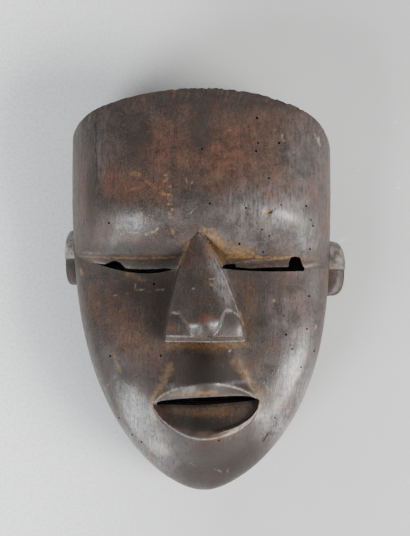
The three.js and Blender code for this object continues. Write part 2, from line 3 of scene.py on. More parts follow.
import bpy
import numpy as np
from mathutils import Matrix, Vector


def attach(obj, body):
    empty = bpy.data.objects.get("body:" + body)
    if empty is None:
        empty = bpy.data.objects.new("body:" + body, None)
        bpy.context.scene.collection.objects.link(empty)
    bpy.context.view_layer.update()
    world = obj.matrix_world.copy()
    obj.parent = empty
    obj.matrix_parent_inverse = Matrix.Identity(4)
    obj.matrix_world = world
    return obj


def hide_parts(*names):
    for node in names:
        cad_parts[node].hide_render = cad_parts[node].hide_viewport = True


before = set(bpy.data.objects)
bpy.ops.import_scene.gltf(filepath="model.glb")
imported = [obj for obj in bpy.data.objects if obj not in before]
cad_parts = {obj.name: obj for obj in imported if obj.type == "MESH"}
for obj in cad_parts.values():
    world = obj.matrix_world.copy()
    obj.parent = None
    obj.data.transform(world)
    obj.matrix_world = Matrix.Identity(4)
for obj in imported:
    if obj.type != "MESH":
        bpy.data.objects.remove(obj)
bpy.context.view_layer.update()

MM = 0.001

# Driving dimensions of the mask in millimetres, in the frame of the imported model: +Z out of the face,
# +Y towards the top edge, +X to the viewer's right. Left and right are the viewer's.
LENGTH = 241
EAR_SPAN = 171
FACE_Z = 64
BROW_Z = 80
NOSE_Z = 94
LIP_Z = 84
WALL = 13
Y_CHIN = -LENGTH / 2
Y_TOP = LENGTH / 2
Y_WIDE = 70
Y_JAW = -88
TEMPLE_BOW = 1
TUCK_SIDE = 0.955
TUCK_CHIN = 0.965
WALL_TOP = (20, 31)  # height of the side wall's upper edge under the chin and beside the face

# The two sides of the outline differ: (left, right)
HALF_WIDTH = (80.4, 76)
JAW_FULLNESS = (2.68, 3.32)
CHIN_ROUND = (1.68, 1.5)
TOP_DROP = (16.5, 20)
CORNER_DROP = (10.3, 14)
ARCH_CURVE, CORNER_CURVE = 1.9, 12

# Columns and rows of the carved front, and rings of its side wall
COLUMNS = 276
ROWS = 290
WALL_RINGS = 4


def mix(a, b, t):
    return a + (b - a) * t


def clamp01(t):
    return np.clip(t, 0.0, 1.0)


def ease(start, end, t):
    """0 before start, 1 past end and a smooth rise between."""
    u = clamp01((t - start) / (end - start))
    return u * u * (3 - 2 * u)


def soft_max(a, b, k):
    return 0.5 * (a + b + np.hypot(a - b, k))


def soft_min(a, b, k):
    return 0.5 * (a + b - np.hypot(a - b, k))


def hump(t, width):
    return np.exp(-((t / width) ** 2))


def rounded_fall(t, power):
    """1 at 0, falling to 0 with an upright end at 1."""
    return (1 - clamp01(np.abs(t)) ** power) ** (1 / power)


def by_side(x, values):
    return np.where(x < 0, values[0], values[1])


# Outline


def half_width(x, y, inset=0.0, y_end=Y_CHIN):
    """Half-width at level y on the side of x, for the outline or one inset from it that closes at y_end."""
    down = clamp01((Y_WIDE - y) / (Y_WIDE - y_end))
    above = np.maximum(0, y - Y_WIDE) / (Y_TOP - Y_WIDE)
    widest = by_side(x, HALF_WIDTH) - inset
    full = (1 - down ** by_side(x, JAW_FULLNESS)) ** (1 / by_side(x, CHIN_ROUND))
    return widest * full - TEMPLE_BOW * above**2


def outline_level(x, inset=0.0, y_end=Y_CHIN):
    """The level at which the same outline is x wide."""
    across = clamp01(np.abs(x) / (by_side(x, HALF_WIDTH) - inset))
    full = (1 - across ** by_side(x, CHIN_ROUND)) ** (1 / by_side(x, JAW_FULLNESS))
    return Y_WIDE - (Y_WIDE - y_end) * full


def across_share(x, y):
    return x / np.maximum(1, half_width(x, y))


def top_arch(x, reach, corner_drop=CORNER_DROP):
    """How far the top edge lies below its middle, at a share of the half-width."""
    return by_side(x, TOP_DROP) * reach**ARCH_CURVE + by_side(x, corner_drop) * reach**CORNER_CURVE


def in_plan(x, y, inset, bottom, top, corner_drop=(0, 0)):
    """True inside an outline inset from the mask's own, between its lowest point and its top edge."""
    reach = np.abs(x) / np.maximum(1, half_width(x, y, inset, bottom))
    return (reach < 1) & (y > bottom) & (y < top - top_arch(x, reach, corner_drop))


def wall_top(y):
    return mix(*WALL_TOP, ease(-118, -30, y))


# Forehead, brow and cheeks

CREST_Y, CREST_ROUND, BROW_FALL, TOP_FALL = 56, 16, 0.66, 16
BULGE_Y, BULGE_TALL, BULGE_HEIGHT = 42, 16, 3.2
BULGES = ((-38, 25), (42, 27))  # x and width of the bulge over each eye
TEMPLE_RIDGE = ((34, 51), (54, 42), (64, 25))
RIDGE_WIDE, RIDGE_HEIGHT = 6.5, 1.3
FOREHEAD_FULLNESS, CHEEK_FULLNESS = 2.45, 3.2
CHEEK_FALLS_FROM = -38
EYE_Y, EYE_DEPTH, EYE_FADE = 15, 8.5, 30
EYE_LIFT, EYE_LIFT_FROM = 0.0026, -32
# The flat along the left jaw: a plane through a point, rising at a slope in a direction of the front view
JAW_FLAT_AT, JAW_FLAT_SLOPE, JAW_FLAT_HEADING, JAW_FLAT_ROUND = (-46, -87, 47), 0.54, 42, 2
JAW_FLAT_END, JAW_FLAT_BEND = -17, 0.8
BROW_LEVEL = (23.4, 21.8)
BROW_RISE, BROW_RISE_WIDE, BROW_X = 14, (6.8, 11), -3
LID = ((18, 16), (49, 16), (49, 21.1), (33.2, 20.5), (26.2, 19.6), (18, 18.3))
LID_Z, LID_SLOPE = 57, 0.5


def line_distance(x, y, start, end):
    """Distance in the front view from the line between two points."""
    (ax, ay), (bx, by) = start, end
    along = clamp01(((x - ax) * (bx - ax) + (y - ay) * (by - ay)) / ((bx - ax) ** 2 + (by - ay) ** 2))
    return np.hypot(x - mix(ax, bx, along), y - mix(ay, by, along))


def forehead_height(x, y):
    above = TOP_FALL * (np.maximum(0, y - CREST_Y) / (Y_TOP - CREST_Y)) ** 1.5
    below = BROW_FALL * (np.hypot(np.maximum(0, CREST_Y - y), CREST_ROUND) - CREST_ROUND)
    sideways = sum(hump(x - middle, wide) for middle, wide in BULGES)
    bulge = BULGE_HEIGHT * hump(y - BULGE_Y, BULGE_TALL) * sideways
    start, turn, end = TEMPLE_RIDGE
    from_ridge = soft_min(line_distance(x, y, start, turn), line_distance(x, y, turn, end), 1)
    ridge = RIDGE_HEIGHT * hump(from_ridge, RIDGE_WIDE)
    edge = wall_top(y)
    across = across_share(x, y)
    dome = (BROW_Z - above - edge) * rounded_fall(across, FOREHEAD_FULLNESS)
    return edge + dome + (bulge + ridge - below) * rounded_fall(across, 3)


def jaw_flat_height(x, y):
    at_x, at_y, at_z = JAW_FLAT_AT
    heading = np.radians(JAW_FLAT_HEADING)
    inward = (x - at_x) * np.cos(heading) + (y - at_y) * np.sin(heading)
    return at_z + JAW_FLAT_SLOPE * inward + JAW_FLAT_BEND * soft_max(x - JAW_FLAT_END, 0, 8)


def cheek_height(x, y):
    edge = wall_top(y)
    down = clamp01((CHEEK_FALLS_FROM - y) / (CHEEK_FALLS_FROM - Y_CHIN))
    crown = (FACE_Z - edge) * rounded_fall(down, 2.5)
    near_eye = np.where(y < EYE_Y, hump(y - EYE_Y, EYE_FADE), 1.0)
    across = across_share(x, y)
    socket = EYE_DEPTH * near_eye * rounded_fall(across, 3)
    return edge + crown * rounded_fall(across, CHEEK_FULLNESS) - socket


def brow_rise(x):
    off = x - BROW_X
    return BROW_RISE * hump(off, by_side(off, BROW_RISE_WIDE))


def brow_share(x, y):
    """The step from the cheeks up to the brow: 0 below the slits and 1 on the forehead."""
    top = mix(BROW_LEVEL[0], BROW_LEVEL[1], ease(-12, 12, x)) + brow_rise(x)
    bottom = EYE_Y + 0.5 + EYE_LIFT * np.maximum(0, EYE_LIFT_FROM - x) ** 2 + 0.25 * brow_rise(x)
    up = (y - bottom) / (top - bottom)
    crease = mix(0.16, 0.005, ease(47, 55, np.abs(x)))
    return clamp01(soft_min(soft_max(up, 0, crease), 1, 0.07))


# Nose

NOSE_ROOT, NOSE_BRIDGE, NOSE_TIP, NOSE_BEVEL, NOSE_BASE = 35.6, 22, -14, -22.7, -26.2
NOSE_ROOT_Z, BEVEL_DROP, NOSE_WALL_SLOPE, NOSE_WALL_WIDE = 73, 4, 12, 3.5
BRIDGE_HALF, NOSE_SPREAD, NOSE_CURVE = 8.85, 0.4233, 0.00305
BULB_Y, BULB_WIDE, BULB_TALL, BULB_HEIGHT = -14, 9, 8, 2.4
TIP_FALL_FROM, TIP_FALL = -13.5, 0.065
BASE_Z, BASE_ARCH = 89, 0.012  # the upper edge of the strip along the nose's base
# The flat on the nose's right side: its upper edge, slope and how softly it turns into the top
FLANK_RIDGE, FLANK_SLOPE, FLANK_SOFT = ((-1, 30), (12.4, -7)), 0.46, 2.6
NOSTRIL_TOP, NOSTRIL_RISE, NOSTRIL_SWELL, NOSTRIL_SOFT = -8, 2.6, 0.6, 1.1
LEFT_NOSTRIL = (
    (-30, -9.8), (-14.6, -9.3), (-11.8, -13.5), (-9, -18), (-6.2, -22.7), (-4.4, -30), (-30, -30)
)
RIGHT_NOSTRIL = (
    (30, -20), (19.6, -12.6), (15.7, -8.7), (12.9, -7.9), (10.7, -9.3), (9.5, -12.4), (7.9, -16.3),
    (6.2, -19.1), (3.9, -22.7), (2.6, -30), (30, -30),
)


def nose_middle(y):
    return mix(-3.5, -0.5, clamp01((30 - y) / 40)) + 0.6 * ease(-15, -26, y)


def nose_half_width(y):
    down = NOSE_BRIDGE - y
    up = clamp01(-down / (NOSE_ROOT - NOSE_BRIDGE))
    return 0.2 + (BRIDGE_HALF + NOSE_SPREAD * down - NOSE_CURVE * down**2) * np.sqrt(1 - up**4)


def inside_share(x, y, outline, soft):
    """1 inside a front-view outline and 0 outside, over a border `soft` millimetres wide."""
    inside = np.zeros(np.shape(x), bool)
    nearest = np.full(np.shape(x), 1e9)
    for (ax, ay), (bx, by) in zip(outline, outline[1:] + outline[:1]):
        nearest = np.minimum(nearest, line_distance(x, y, (ax, ay), (bx, by)))
        if ay != by:
            crosses = (y < ay) != (y < by)
            inside ^= crosses & (x < ax + (y - ay) * (bx - ax) / (by - ay))
    signed = np.where(inside, nearest, -nearest)
    return ease(-soft / 2, soft / 2, signed)


def nose_height(x, y):
    level = np.clip(y, NOSE_BASE, NOSE_ROOT)
    half = nose_half_width(level)
    off = np.abs(x - nose_middle(level))
    along = np.maximum(0, soft_min((NOSE_ROOT - y) / (NOSE_ROOT - NOSE_TIP), 1, 0.16))
    sag = mix(2.2, 8.5, along) * np.minimum(off / half, 1) ** 2.3
    bulb = BULB_HEIGHT * hump(off, BULB_WIDE) * hump(y - BULB_Y, BULB_TALL)
    tip_fall = TIP_FALL * np.maximum(0, TIP_FALL_FROM - y) ** 2
    (ax, ay), (bx, by) = FLANK_RIDGE
    past_ridge = ((x - ax) * (ay - by) + (y - ay) * (bx - ax)) / np.hypot(bx - ax, by - ay)
    flank_fall = FLANK_SLOPE * soft_max(past_ridge, 0, FLANK_SOFT) * ease(34, 26, y)
    top = mix(NOSE_ROOT_Z, NOSE_Z, along**1.15) - sag + bulb - tip_fall - flank_fall
    base = BASE_Z - BASE_ARCH * x**2
    to_base = clamp01((NOSTRIL_TOP - y) / (NOSTRIL_TOP - NOSE_BEVEL))
    floor = base - NOSTRIL_RISE * (1 - to_base) + 4 * NOSTRIL_SWELL * to_base * (1 - to_base)
    cut = inside_share(x, y, LEFT_NOSTRIL, NOSTRIL_SOFT) + inside_share(x, y, RIGHT_NOSTRIL, NOSTRIL_SOFT)
    top = mix(top, floor, cut)
    bevel = BEVEL_DROP * (NOSE_BEVEL - y) / (NOSE_BEVEL - NOSE_BASE)
    top = np.where(y < NOSE_BEVEL, base - bevel, top)
    wall = NOSE_WALL_SLOPE * np.maximum(0, off - half)
    return top - wall - 30 * np.maximum(0, NOSE_BASE - y) - 6 * np.maximum(0, y - NOSE_ROOT)


# Mouth

MOUTH_X, MOUTH_Y, MOUTH_HALF, MOUTH_TILT = 0.6, -62.7, 30.9, 0.047
CORNER_Z, LOWER_Z = 61, 76.5
LIP_UP, LIP_DOWN, LIP_UPPER = 13.5, 19.2, 8.2
LIP_ROLL, LIP_ROLL_POWER = (3, 4.6), (1.5, 0.75)  # left and right
SLIT_BELOW, BOWL_DEEP, BOWL_CURVE = 0.5, 14, 1.25
RIM_WIDE, RIM_BEAD, BEAD_WIDE = (3.2, 4.6), 1.8, 1
RIM_ROLL, CREST_SHIFT = (1.2, 2.3), (0.5, 1.9)  # left and right
MUZZLE_SLOPE, MUZZLE_WIDE, MUZZLE_TAPER, MUZZLE_CURVE = 0.78, 31, 0.62, 0.006
MUZZLE_SIDE, MUZZLE_SOFT = 1.6, 3
UNDER_SLOPE, UNDER_CURVE, UNDER_SIDE, UNDER_BACK, UNDER_BLEND = 0.7, 0.026, 0.5, 2, 6
EDGE_STEP = 0.25  # plan width of the lip edge's upright drop
FLOOR_TURN = 0.93  # how far the bowl's floor has levelled out where it meets the slit


def mouth_curves(x, least=0.0, soft=0.0):
    """Levels of the mouth's curves at x, from the line between its corners, and the heights along them."""
    u = np.abs(x - MOUTH_X) / MOUTH_HALF
    inside = np.maximum(least, soft_max(1 - u * u, 0, soft))
    to_right = ease(-20, 20, x)
    up = LIP_UP * inside ** mix(0.68, 0.92, to_right)
    down = LIP_DOWN * inside ** mix(0.7, 0.45, to_right)
    rim_wide = mix(*RIM_WIDE, ease(-22, 4, x)) * inside**0.4
    return SimpleNamespace(
        inside=inside,
        middle=MOUTH_Y + MOUTH_TILT * (x - MOUTH_X),
        up=up,
        lip_edge=up - LIP_UPPER * inside ** mix(0.7, 1.15, to_right),
        slit_end=-SLIT_BELOW * inside,
        rim_in=-down + rim_wide,
        down=down,
        ridge_z=mix(CORNER_Z, LIP_Z, inside**1.1),
        rim_z=mix(CORNER_Z, LOWER_Z, inside**0.8),
    )


def upper_lip_height(x, y):
    m = mouth_curves(x)
    v = y - m.middle
    above = np.maximum(0, v)
    width = MUZZLE_WIDE - MUZZLE_TAPER * above + MUZZLE_CURVE * above**2
    soft = MUZZLE_SOFT * ease(0, 6, above)
    side_fall = MUZZLE_SIDE * soft_max(np.abs(x - MOUTH_X) - width, 0, soft)
    to_right = ease(-2, 22, x)
    under = clamp01((m.up - v) / np.maximum(0.05, m.up - m.lip_edge))
    roll = mix(*LIP_ROLL, to_right) * under ** mix(*LIP_ROLL_POWER, to_right)
    edge_fall = np.where(m.inside > 0, 60, 1.6) * np.maximum(0, m.lip_edge - v)
    return m.ridge_z - MUZZLE_SLOPE * np.maximum(0, v - m.up) - side_fall - roll - edge_fall


def under_lip_height(x, y):
    m = mouth_curves(x, soft=0.35)
    v = y - m.middle
    beside = UNDER_SIDE * soft_max(np.abs(x - MOUTH_X) - MOUTH_HALF, 0, 12)
    below = soft_max(-m.down - v, 0, 3)
    fall = UNDER_SLOPE * below + UNDER_CURVE * below**2 + UNDER_BACK * soft_max(v + 4, 0, 8)
    return m.rim_z - beside - fall


def shell_height(x, y):
    """The front without the nose, the upper lip and the hollow of the mouth."""
    face = mix(cheek_height(x, y), forehead_height(x, y), brow_share(x, y))
    m = mouth_curves(x)
    from_rim = y - m.middle + m.down
    bead = RIM_BEAD * hump(np.minimum(0, from_rim), BEAD_WIDE) * ease(0, 0.3, m.inside)
    bead = np.where(y < m.middle, bead, 0)
    mound = soft_max(face, under_lip_height(x, y), UNDER_BLEND) - face
    face = face + mound * (1 - clamp01(np.abs(across_share(x, y))) ** 4)
    return soft_min(face, jaw_flat_height(x, y), JAW_FLAT_ROUND) + bead


def mouth_floor(x, v, m, rim_z):
    """The bowl of the open mouth, v above the line between its corners, inside a rolled rim."""
    rim_to_ridge = mix(rim_z, m.ridge_z, clamp01((v + m.down) / (m.up + m.down + 0.01)))
    to_right = ease(0, 14, x)
    over_rim = clamp01((v + m.down) / (m.rim_in + m.down + 0.01)) ** mix(*CREST_SHIFT, to_right)
    from_rim = clamp01((v - m.rim_in) / (m.slit_end - m.rim_in + 0.01))
    bowl = BOWL_DEEP * m.inside ** mix(0.6, 0.8, to_right) * (1 - (1 - FLOOR_TURN * from_rim) ** BOWL_CURVE)
    return rim_to_ridge + mix(*RIM_ROLL, to_right) * (4 * over_rim * (1 - over_rim) - over_rim) - bowl


def carved_height(x, y):
    """Height of the mask's front at (x, y), before its finer marks."""
    face = shell_height(x, y)
    lid = inside_share(x, y, LID, 0.6)
    face = mix(face, np.minimum(face, LID_Z + LID_SLOPE * (y - LID[0][1])), lid)
    m = mouth_curves(x)
    v = y - m.middle
    rim_z = shell_height(x, m.middle - m.down)
    open_mouth = (v > -m.down) & (v < m.lip_edge - EDGE_STEP / 2) & (m.inside > 0)
    face = np.where(open_mouth, mouth_floor(x, v, m, rim_z), face)
    above_edge = (v > m.lip_edge - EDGE_STEP / 2) | (m.inside <= 0)
    crease = mix(1.2, 6, ease(8, 26, v))
    face = np.where(above_edge, soft_max(face, upper_lip_height(x, y), crease), face)
    return soft_max(face, nose_height(x, y), mix(1, 3.5, ease(12, 32, y)))


# Finer marks


def ripples(seed, count, shortest, longest):
    """A smooth random surface of height about 1: a function of x and y that sums waves of these lengths."""
    rng = np.random.default_rng(seed)
    length = np.exp(rng.uniform(np.log(shortest), np.log(longest), count))
    heading = rng.uniform(0, 2 * np.pi, count)
    phase = rng.uniform(0, 2 * np.pi, count)
    kx = 2 * np.pi * np.cos(heading) / length
    ky = 2 * np.pi * np.sin(heading) / length

    def surface(x, y):
        total = np.zeros(np.shape(x))
        for a, b, c in zip(kx, ky, phase):
            total += np.cos(a * x + b * y + c)
        return total * np.sqrt(2 / count)

    return surface


knife_marks = ripples(3, 26, 12, 40)
rough_marks = ripples(4, 20, 2.2, 7)
edge_marks = ripples(5, 16, 3, 14)
KNIFE_DEPTH, FINE_DEPTH, TOP_DEPTH = 0.1, 0.012, 0.12

# Chips in the surface: x, y, half-width, half-height and depth
CHIPS = (
    (35.2, 47.5, 1.8, 1.4, 1), (44.6, 91.6, 0.7, 1.7, 0.7), (45.6, 88.6, 0.8, 0.7, 0.6),
    (40.4, 95.3, 0.8, 0.6, 0.5), (14.3, 94.8, 0.9, 0.6, 0.5), (67, 91.5, 0.6, 1.5, 0.5),
    (14.6, 3.4, 0.9, 0.8, 0.7),
)


def chip_share(x, y):
    ragged = 0.25 * rough_marks(x, y)
    reach = [np.hypot((x - cx) / wide, (y - cy) / tall) for cx, cy, wide, tall, _ in CHIPS]
    return [ease(1.25, 0.6, away + ragged) for away in reach]


def front_height(x, y):
    """Height of the front with the soft unevenness of hand carving, its worn top edge and its chips."""
    rough_top = ease(Y_TOP - 16, Y_TOP - 4, y + 16 * across_share(x, y) ** 2)
    chips = sum(chip[4] * share for chip, share in zip(CHIPS, chip_share(x, y)))
    rough = (FINE_DEPTH + TOP_DEPTH * rough_top) * rough_marks(x, y)
    return carved_height(x, y) + KNIFE_DEPTH * knife_marks(x, y) + rough - chips


# The front's grid


def row_stops(m):
    """Levels of the curves that rows follow, from the lower rim up."""
    return [-m.down, m.rim_in, m.slit_end, m.lip_edge, m.up]


MOUTH_STOPS = [float(level) for level in row_stops(mouth_curves(np.array(MOUTH_X)))]
MOUTH_MARGIN = (-40, 34)

# Where the front's rows lie closer together: the middle of each band, its reach and how much
BUSY_ROWS = (
    (19, 6, 1.1), (-24.5, 2.6, 1.6), (-63, 19, 0.5), (-82.5, 2.6, 1.6), (-119, 9, 0.9), (120, 3, 0.8)
)
PLAIN_ROWS, FINE_LEVELS = 0.62, 4001


def row_density(y):
    return PLAIN_ROWS + sum(more * hump(y - middle, wide) for middle, wide, more in BUSY_ROWS)


def row_levels():
    """Levels of the front's rows, one of them on each edge that they must not miss."""
    fine = np.linspace(Y_CHIN, Y_TOP, FINE_LEVELS)
    summed = np.concatenate([[0], np.cumsum(row_density(0.5 * (fine[1:] + fine[:-1])))])
    levels = np.interp(np.linspace(0, summed[-1], ROWS + 1), summed, fine)
    for stop in (NOSE_BEVEL, NOSE_BASE, *(MOUTH_Y + level for level in MOUTH_STOPS)):
        levels[np.argmin(np.abs(levels - stop))] = stop
    return levels


def mouth_level(x, level):
    """Where a row runs near the mouth, so that rows follow its curves."""
    beyond = np.abs(x - MOUTH_X) / MOUTH_HALF
    least = mix(0.1, 1, ease(1, 2, beyond))
    m = mouth_curves(x, least)
    below, above = MOUTH_MARGIN
    base = [below, *MOUTH_STOPS, above]
    here = [below, *row_stops(m), above]
    v = level - MOUTH_Y
    mapped = v.copy()
    for lo, hi, lo_here, hi_here in zip(base, base[1:], here, here[1:]):
        inside = (v >= lo) & (v <= hi)
        mapped = np.where(inside, mix(lo_here, hi_here, (v - lo) / (hi - lo)), mapped)
    return m.middle + mapped


RAGGED_DEPTH, RAGGED_LEVELS = 0.45, 10
# Shares of the grid's half-width where the nose's edge and the foot of its side wall run
EDGE_SHARE, FOOT_SHARE = 0.26, 0.36


def ragged_edge(x):
    """How far the worn top edge is set back at x; its left part is less worn."""
    worn_part = mix(0.25, 1, ease(-28, -10, x)) * ease(68, 56, x)
    return RAGGED_DEPTH * worn_part * np.abs(edge_marks(x, 0 * x))


def nose_share(level):
    """1 where the grid's columns follow the nose."""
    return ease(46, 37, level) * ease(-46, -26, level)


def column_distance(share, half, level):
    """Distance from the middle of a column at a share of the grid's half, along the nose's edges."""
    on_nose = nose_share(level)
    nose_half = nose_half_width(np.clip(level, NOSE_BASE, 34))
    edge = mix(0.2 * half, nose_half, on_nose)
    foot = mix(0.28 * half, nose_half + 0.9 * NOSE_WALL_WIDE, on_nose)
    outer_share = clamp01((share - FOOT_SHARE) / (1 - FOOT_SHARE))
    outer = foot + (half - foot) * np.sin(np.pi / 2 * outer_share) ** 0.92
    wall = mix(edge, foot, clamp01((share - EDGE_SHARE) / (FOOT_SHARE - EDGE_SHARE)))
    beside = np.where(share < FOOT_SHARE, wall, outer)
    return np.where(share < EDGE_SHARE, edge * share / EDGE_SHARE, beside)


def front_point(s, level):
    """x and y of the front's grid: s runs from -1 to 1 across, level up the middle. Rows follow the chin's
    arc, the mouth, the brow's lower edge and the arched top edge; columns follow the nose's edges."""
    sign = np.where(s < 0, -1.0, 1.0)
    lift = (1 - ease(Y_CHIN, -10, level)) ** 1.3
    drop = ease(30, Y_TOP, level)
    bend = 0.8 * ease(16, 24, level) * (1 - ease(26, 80, level))
    half = half_width(sign, level + lift * (Y_JAW - Y_CHIN) - drop * top_arch(sign, 1))
    off = column_distance(np.abs(s), half, level)
    reach = off / half
    x = sign * off + nose_middle(level) * nose_share(level) * (1 - reach)
    arc = outline_level(sign * reach * half_width(sign, Y_JAW)) - Y_CHIN
    y = level + lift * arc - drop * top_arch(sign, reach) + bend * brow_rise(x)
    near_mouth = ease(1.95, 1.1, np.abs(x - MOUTH_X) / MOUTH_HALF) * ease(-117, -86, level)
    near_mouth = near_mouth * ease(-8, -42, level) * ease(0.98, 0.8, reach)
    y = mix(y, mouth_level(x, level), near_mouth)
    return x, y - ragged_edge(x) * ease(Y_TOP - RAGGED_LEVELS, Y_TOP, level)


# Building meshes


def object_of(name, points, faces):
    """A mesh object from points in millimetres."""
    mesh = bpy.data.meshes.new(name)
    mesh.from_pydata((np.asarray(points) * MM).tolist(), [], faces)
    mesh.validate()
    piece = bpy.data.objects.new(name, mesh)
    bpy.context.scene.collection.objects.link(piece)
    return piece


def tube_faces(first, count, loops=2):
    """Faces of a closed tube through loops of points that are stored one after another."""
    index = np.arange(first, first + loops * count).reshape(loops, count)
    low, high = index[:-1], index[1:]
    sides = np.stack([np.roll(low, 1, 1), low, high, np.roll(high, 1, 1)], -1).reshape(-1, 4)
    return [index[0, ::-1].tolist(), index[-1].tolist(), *sides.tolist()]


def carved_block(name, grid, rings):
    """A closed solid under a grid of points [row, column, xyz]. rings are functions from the grid's edge
    points to the loops of points below them, the last one the edge of the flat underside."""
    rows, columns = grid.shape[:2]
    points = [grid.reshape(-1, 3)]
    index = np.arange(rows * columns).reshape(rows, columns)
    corners = index[:-1, :-1], index[:-1, 1:], index[1:, 1:], index[1:, :-1]
    faces = np.stack(corners, -1).reshape(-1, 4).tolist()
    loop = np.concatenate([index[0], index[1:-1, -1], index[-1, ::-1], index[-2:0:-1, 0]]).tolist()
    edge = points[0][loop]
    for ring in rings:
        start = sum(len(p) for p in points)
        below = list(range(start, start + len(edge)))
        points.append(ring(edge))
        for i in range(len(edge)):
            n = (i + 1) % len(edge)
            faces.append([below[i], below[n], loop[n], loop[i]])
        loop = below
    faces.append(loop[::-1])
    return object_of(name, np.concatenate(points), faces)


def cut(piece, tool, operation="DIFFERENCE"):
    """Cuts one closed solid with another, or joins them, and removes the tool."""
    change = piece.modifiers.new("cut", "BOOLEAN")
    change.operation = operation
    change.solver = "MANIFOLD"
    change.object = tool
    bpy.context.view_layer.update()
    made = bpy.data.meshes.new_from_object(piece.evaluated_get(bpy.context.evaluated_depsgraph_get()))
    piece.modifiers.clear()
    piece.data = made
    bpy.data.objects.remove(tool)


END_WALL_Y = 80  # above this level the side wall is the sawn end
WALL_SWELL, END_SETTLES = 0.25, 0.4


def wall_ring(down):
    """Makes the side wall's loop of points at a share of the way down to the back rim."""
    tucked = down**2
    swell = WALL_SWELL * np.sin(np.pi * down)

    def ring(edge):
        x, y, z = edge.T
        side = x * mix(1, TUCK_SIDE, tucked)
        chin = np.where(y > 0, y, y * mix(1, TUCK_CHIN, tucked))
        uneven = swell * rough_marks(down * 30 + x * 0.5, y)
        sawn = ragged_edge(x) * ease(0, END_SETTLES, down) + swell * knife_marks(x, 60 * down)
        end = chin + np.where(y > END_WALL_Y, sawn, 0)
        return np.stack([side + np.sign(x) * uneven, end, z * (1 - down)], 1)

    return ring


def front_block():
    x, y = front_point(*np.meshgrid(np.linspace(-1, 1, COLUMNS + 1), row_levels()))
    grid = np.stack([x, y, front_height(x, y)], 2)
    return carved_block("mask", grid, [wall_ring(down) for down in np.linspace(0, 1, WALL_RINGS + 1)[1:]])


# The hollow behind the face

HOLLOW_CHIN, HOLLOW_JAW, HOLLOW_TOP, HOLLOW_FLOOR = -106, -78, 106, -8
HOLLOW_WALL_Z, HOLLOW_CROWN, HOLLOW_FLARE = 16, 50, 1.03
HOLLOW_RISE, HOLLOW_FALLS_FROM = 9, -30
HOLLOW_GRID, GOUGE_DEPTH = 61, 0.5
gouge_marks = ripples(6, 22, 9, 20)


def hollow_height(x, y):
    half = np.maximum(1, half_width(x, y, WALL, HOLLOW_CHIN))
    crown = HOLLOW_CROWN + HOLLOW_RISE * ease(18, 62, y) - HOLLOW_RISE * ease(62, 106, y)
    down = clamp01((HOLLOW_FALLS_FROM - y) / (HOLLOW_FALLS_FROM - HOLLOW_CHIN))
    return HOLLOW_WALL_Z + (crown - HOLLOW_WALL_Z) * rounded_fall(down, 2.2) * rounded_fall(x / half, 2.4)


def hollow_block():
    s, t = np.meshgrid(np.linspace(-1, 1, HOLLOW_GRID), np.linspace(0, 1, HOLLOW_GRID))
    sign = np.where(s < 0, -1.0, 1.0)
    level = mix(HOLLOW_CHIN, HOLLOW_TOP, 0.5 - 0.5 * np.cos(np.pi * t))
    lift = (1 - ease(HOLLOW_CHIN, -20, level)) ** 1.3
    jaw = half_width(sign, HOLLOW_JAW, WALL, HOLLOW_CHIN)
    reach = np.sin(np.pi / 2 * np.abs(s))
    half = half_width(sign, level + lift * (HOLLOW_JAW - HOLLOW_CHIN), WALL, HOLLOW_CHIN)
    x = sign * half * reach
    y = level + lift * (outline_level(sign * reach * jaw, WALL, HOLLOW_CHIN) - HOLLOW_CHIN)
    y = y - top_arch(sign, reach, (0, 0)) * ease(30, HOLLOW_TOP, level)
    z = hollow_height(x, y)
    z = z + GOUGE_DEPTH * gouge_marks(x, y) * ease(HOLLOW_WALL_Z, HOLLOW_WALL_Z + 8, z)
    rim = lambda edge: np.stack([edge[:, 0] * HOLLOW_FLARE, edge[:, 1], 0 * edge[:, 2] + HOLLOW_FLOOR], 1)
    return carved_block("hollow", np.stack([x, y, z], 2), [rim])


# Through cuts and ears


def prism(name, outline, low, high):
    """A closed prism along Z with a front-view outline."""
    outline = np.asarray(outline, float)
    count = len(outline)
    bottom = np.column_stack([outline, np.full(count, low)])
    top = np.column_stack([outline, np.full(count, high)])
    return object_of(name, np.concatenate([bottom, top]), tube_faces(0, count))


def curve_points(start, control, end, count):
    """Points along a curve bent towards its control point."""
    t = np.linspace(0, 1, count)[:, None]
    return (1 - t) ** 2 * np.array(start) + 2 * t * (1 - t) * np.array(control) + t**2 * np.array(end)


LEFT_SLIT = [
    *curve_points((-64.4, 18.4), (-37, 8.6), (-18.7, 15), 22),
    (-24, 15.6), (-29, 15.1), (-38, 14.9), (-46.3, 15.3), (-48, 16.9), (-49.8, 18.6), (-52.1, 19.8),
    (-54.5, 19.9), (-56.8, 18.9), (-59.2, 17.9),
]
RIGHT_SLIT = [
    *curve_points((10, 15.4), (27, 13), (58.4, 13.9), 22),
    (59, 15.4), (57.9, 17), (57, 18.9), (56.4, 21), (55.4, 22.1), (52.6, 22.5), (50.1, 21.9),
    (49.8, 20.3), (49.3, 19.5), (49.1, 16.3), (38.1, 16.1), (26.4, 15.5), (18.2, 16.3), (17.9, 18),
    (15.8, 18.2), (13.5, 17.9), (10.6, 17.3),
]

# Heights between which the slits are cut, and how far the mouth's cut is past the curves beside it
SLIT_LOW, SLIT_HIGH, MOUTH_SLIT_HIGH, SLIT_PAST = 20, 90, 78, 0.3
MOUTH_SLIT_ENDS, MOUTH_SLIT_POINTS = (-0.93, 0.95), 41  # ends as shares of the mouth's half-width


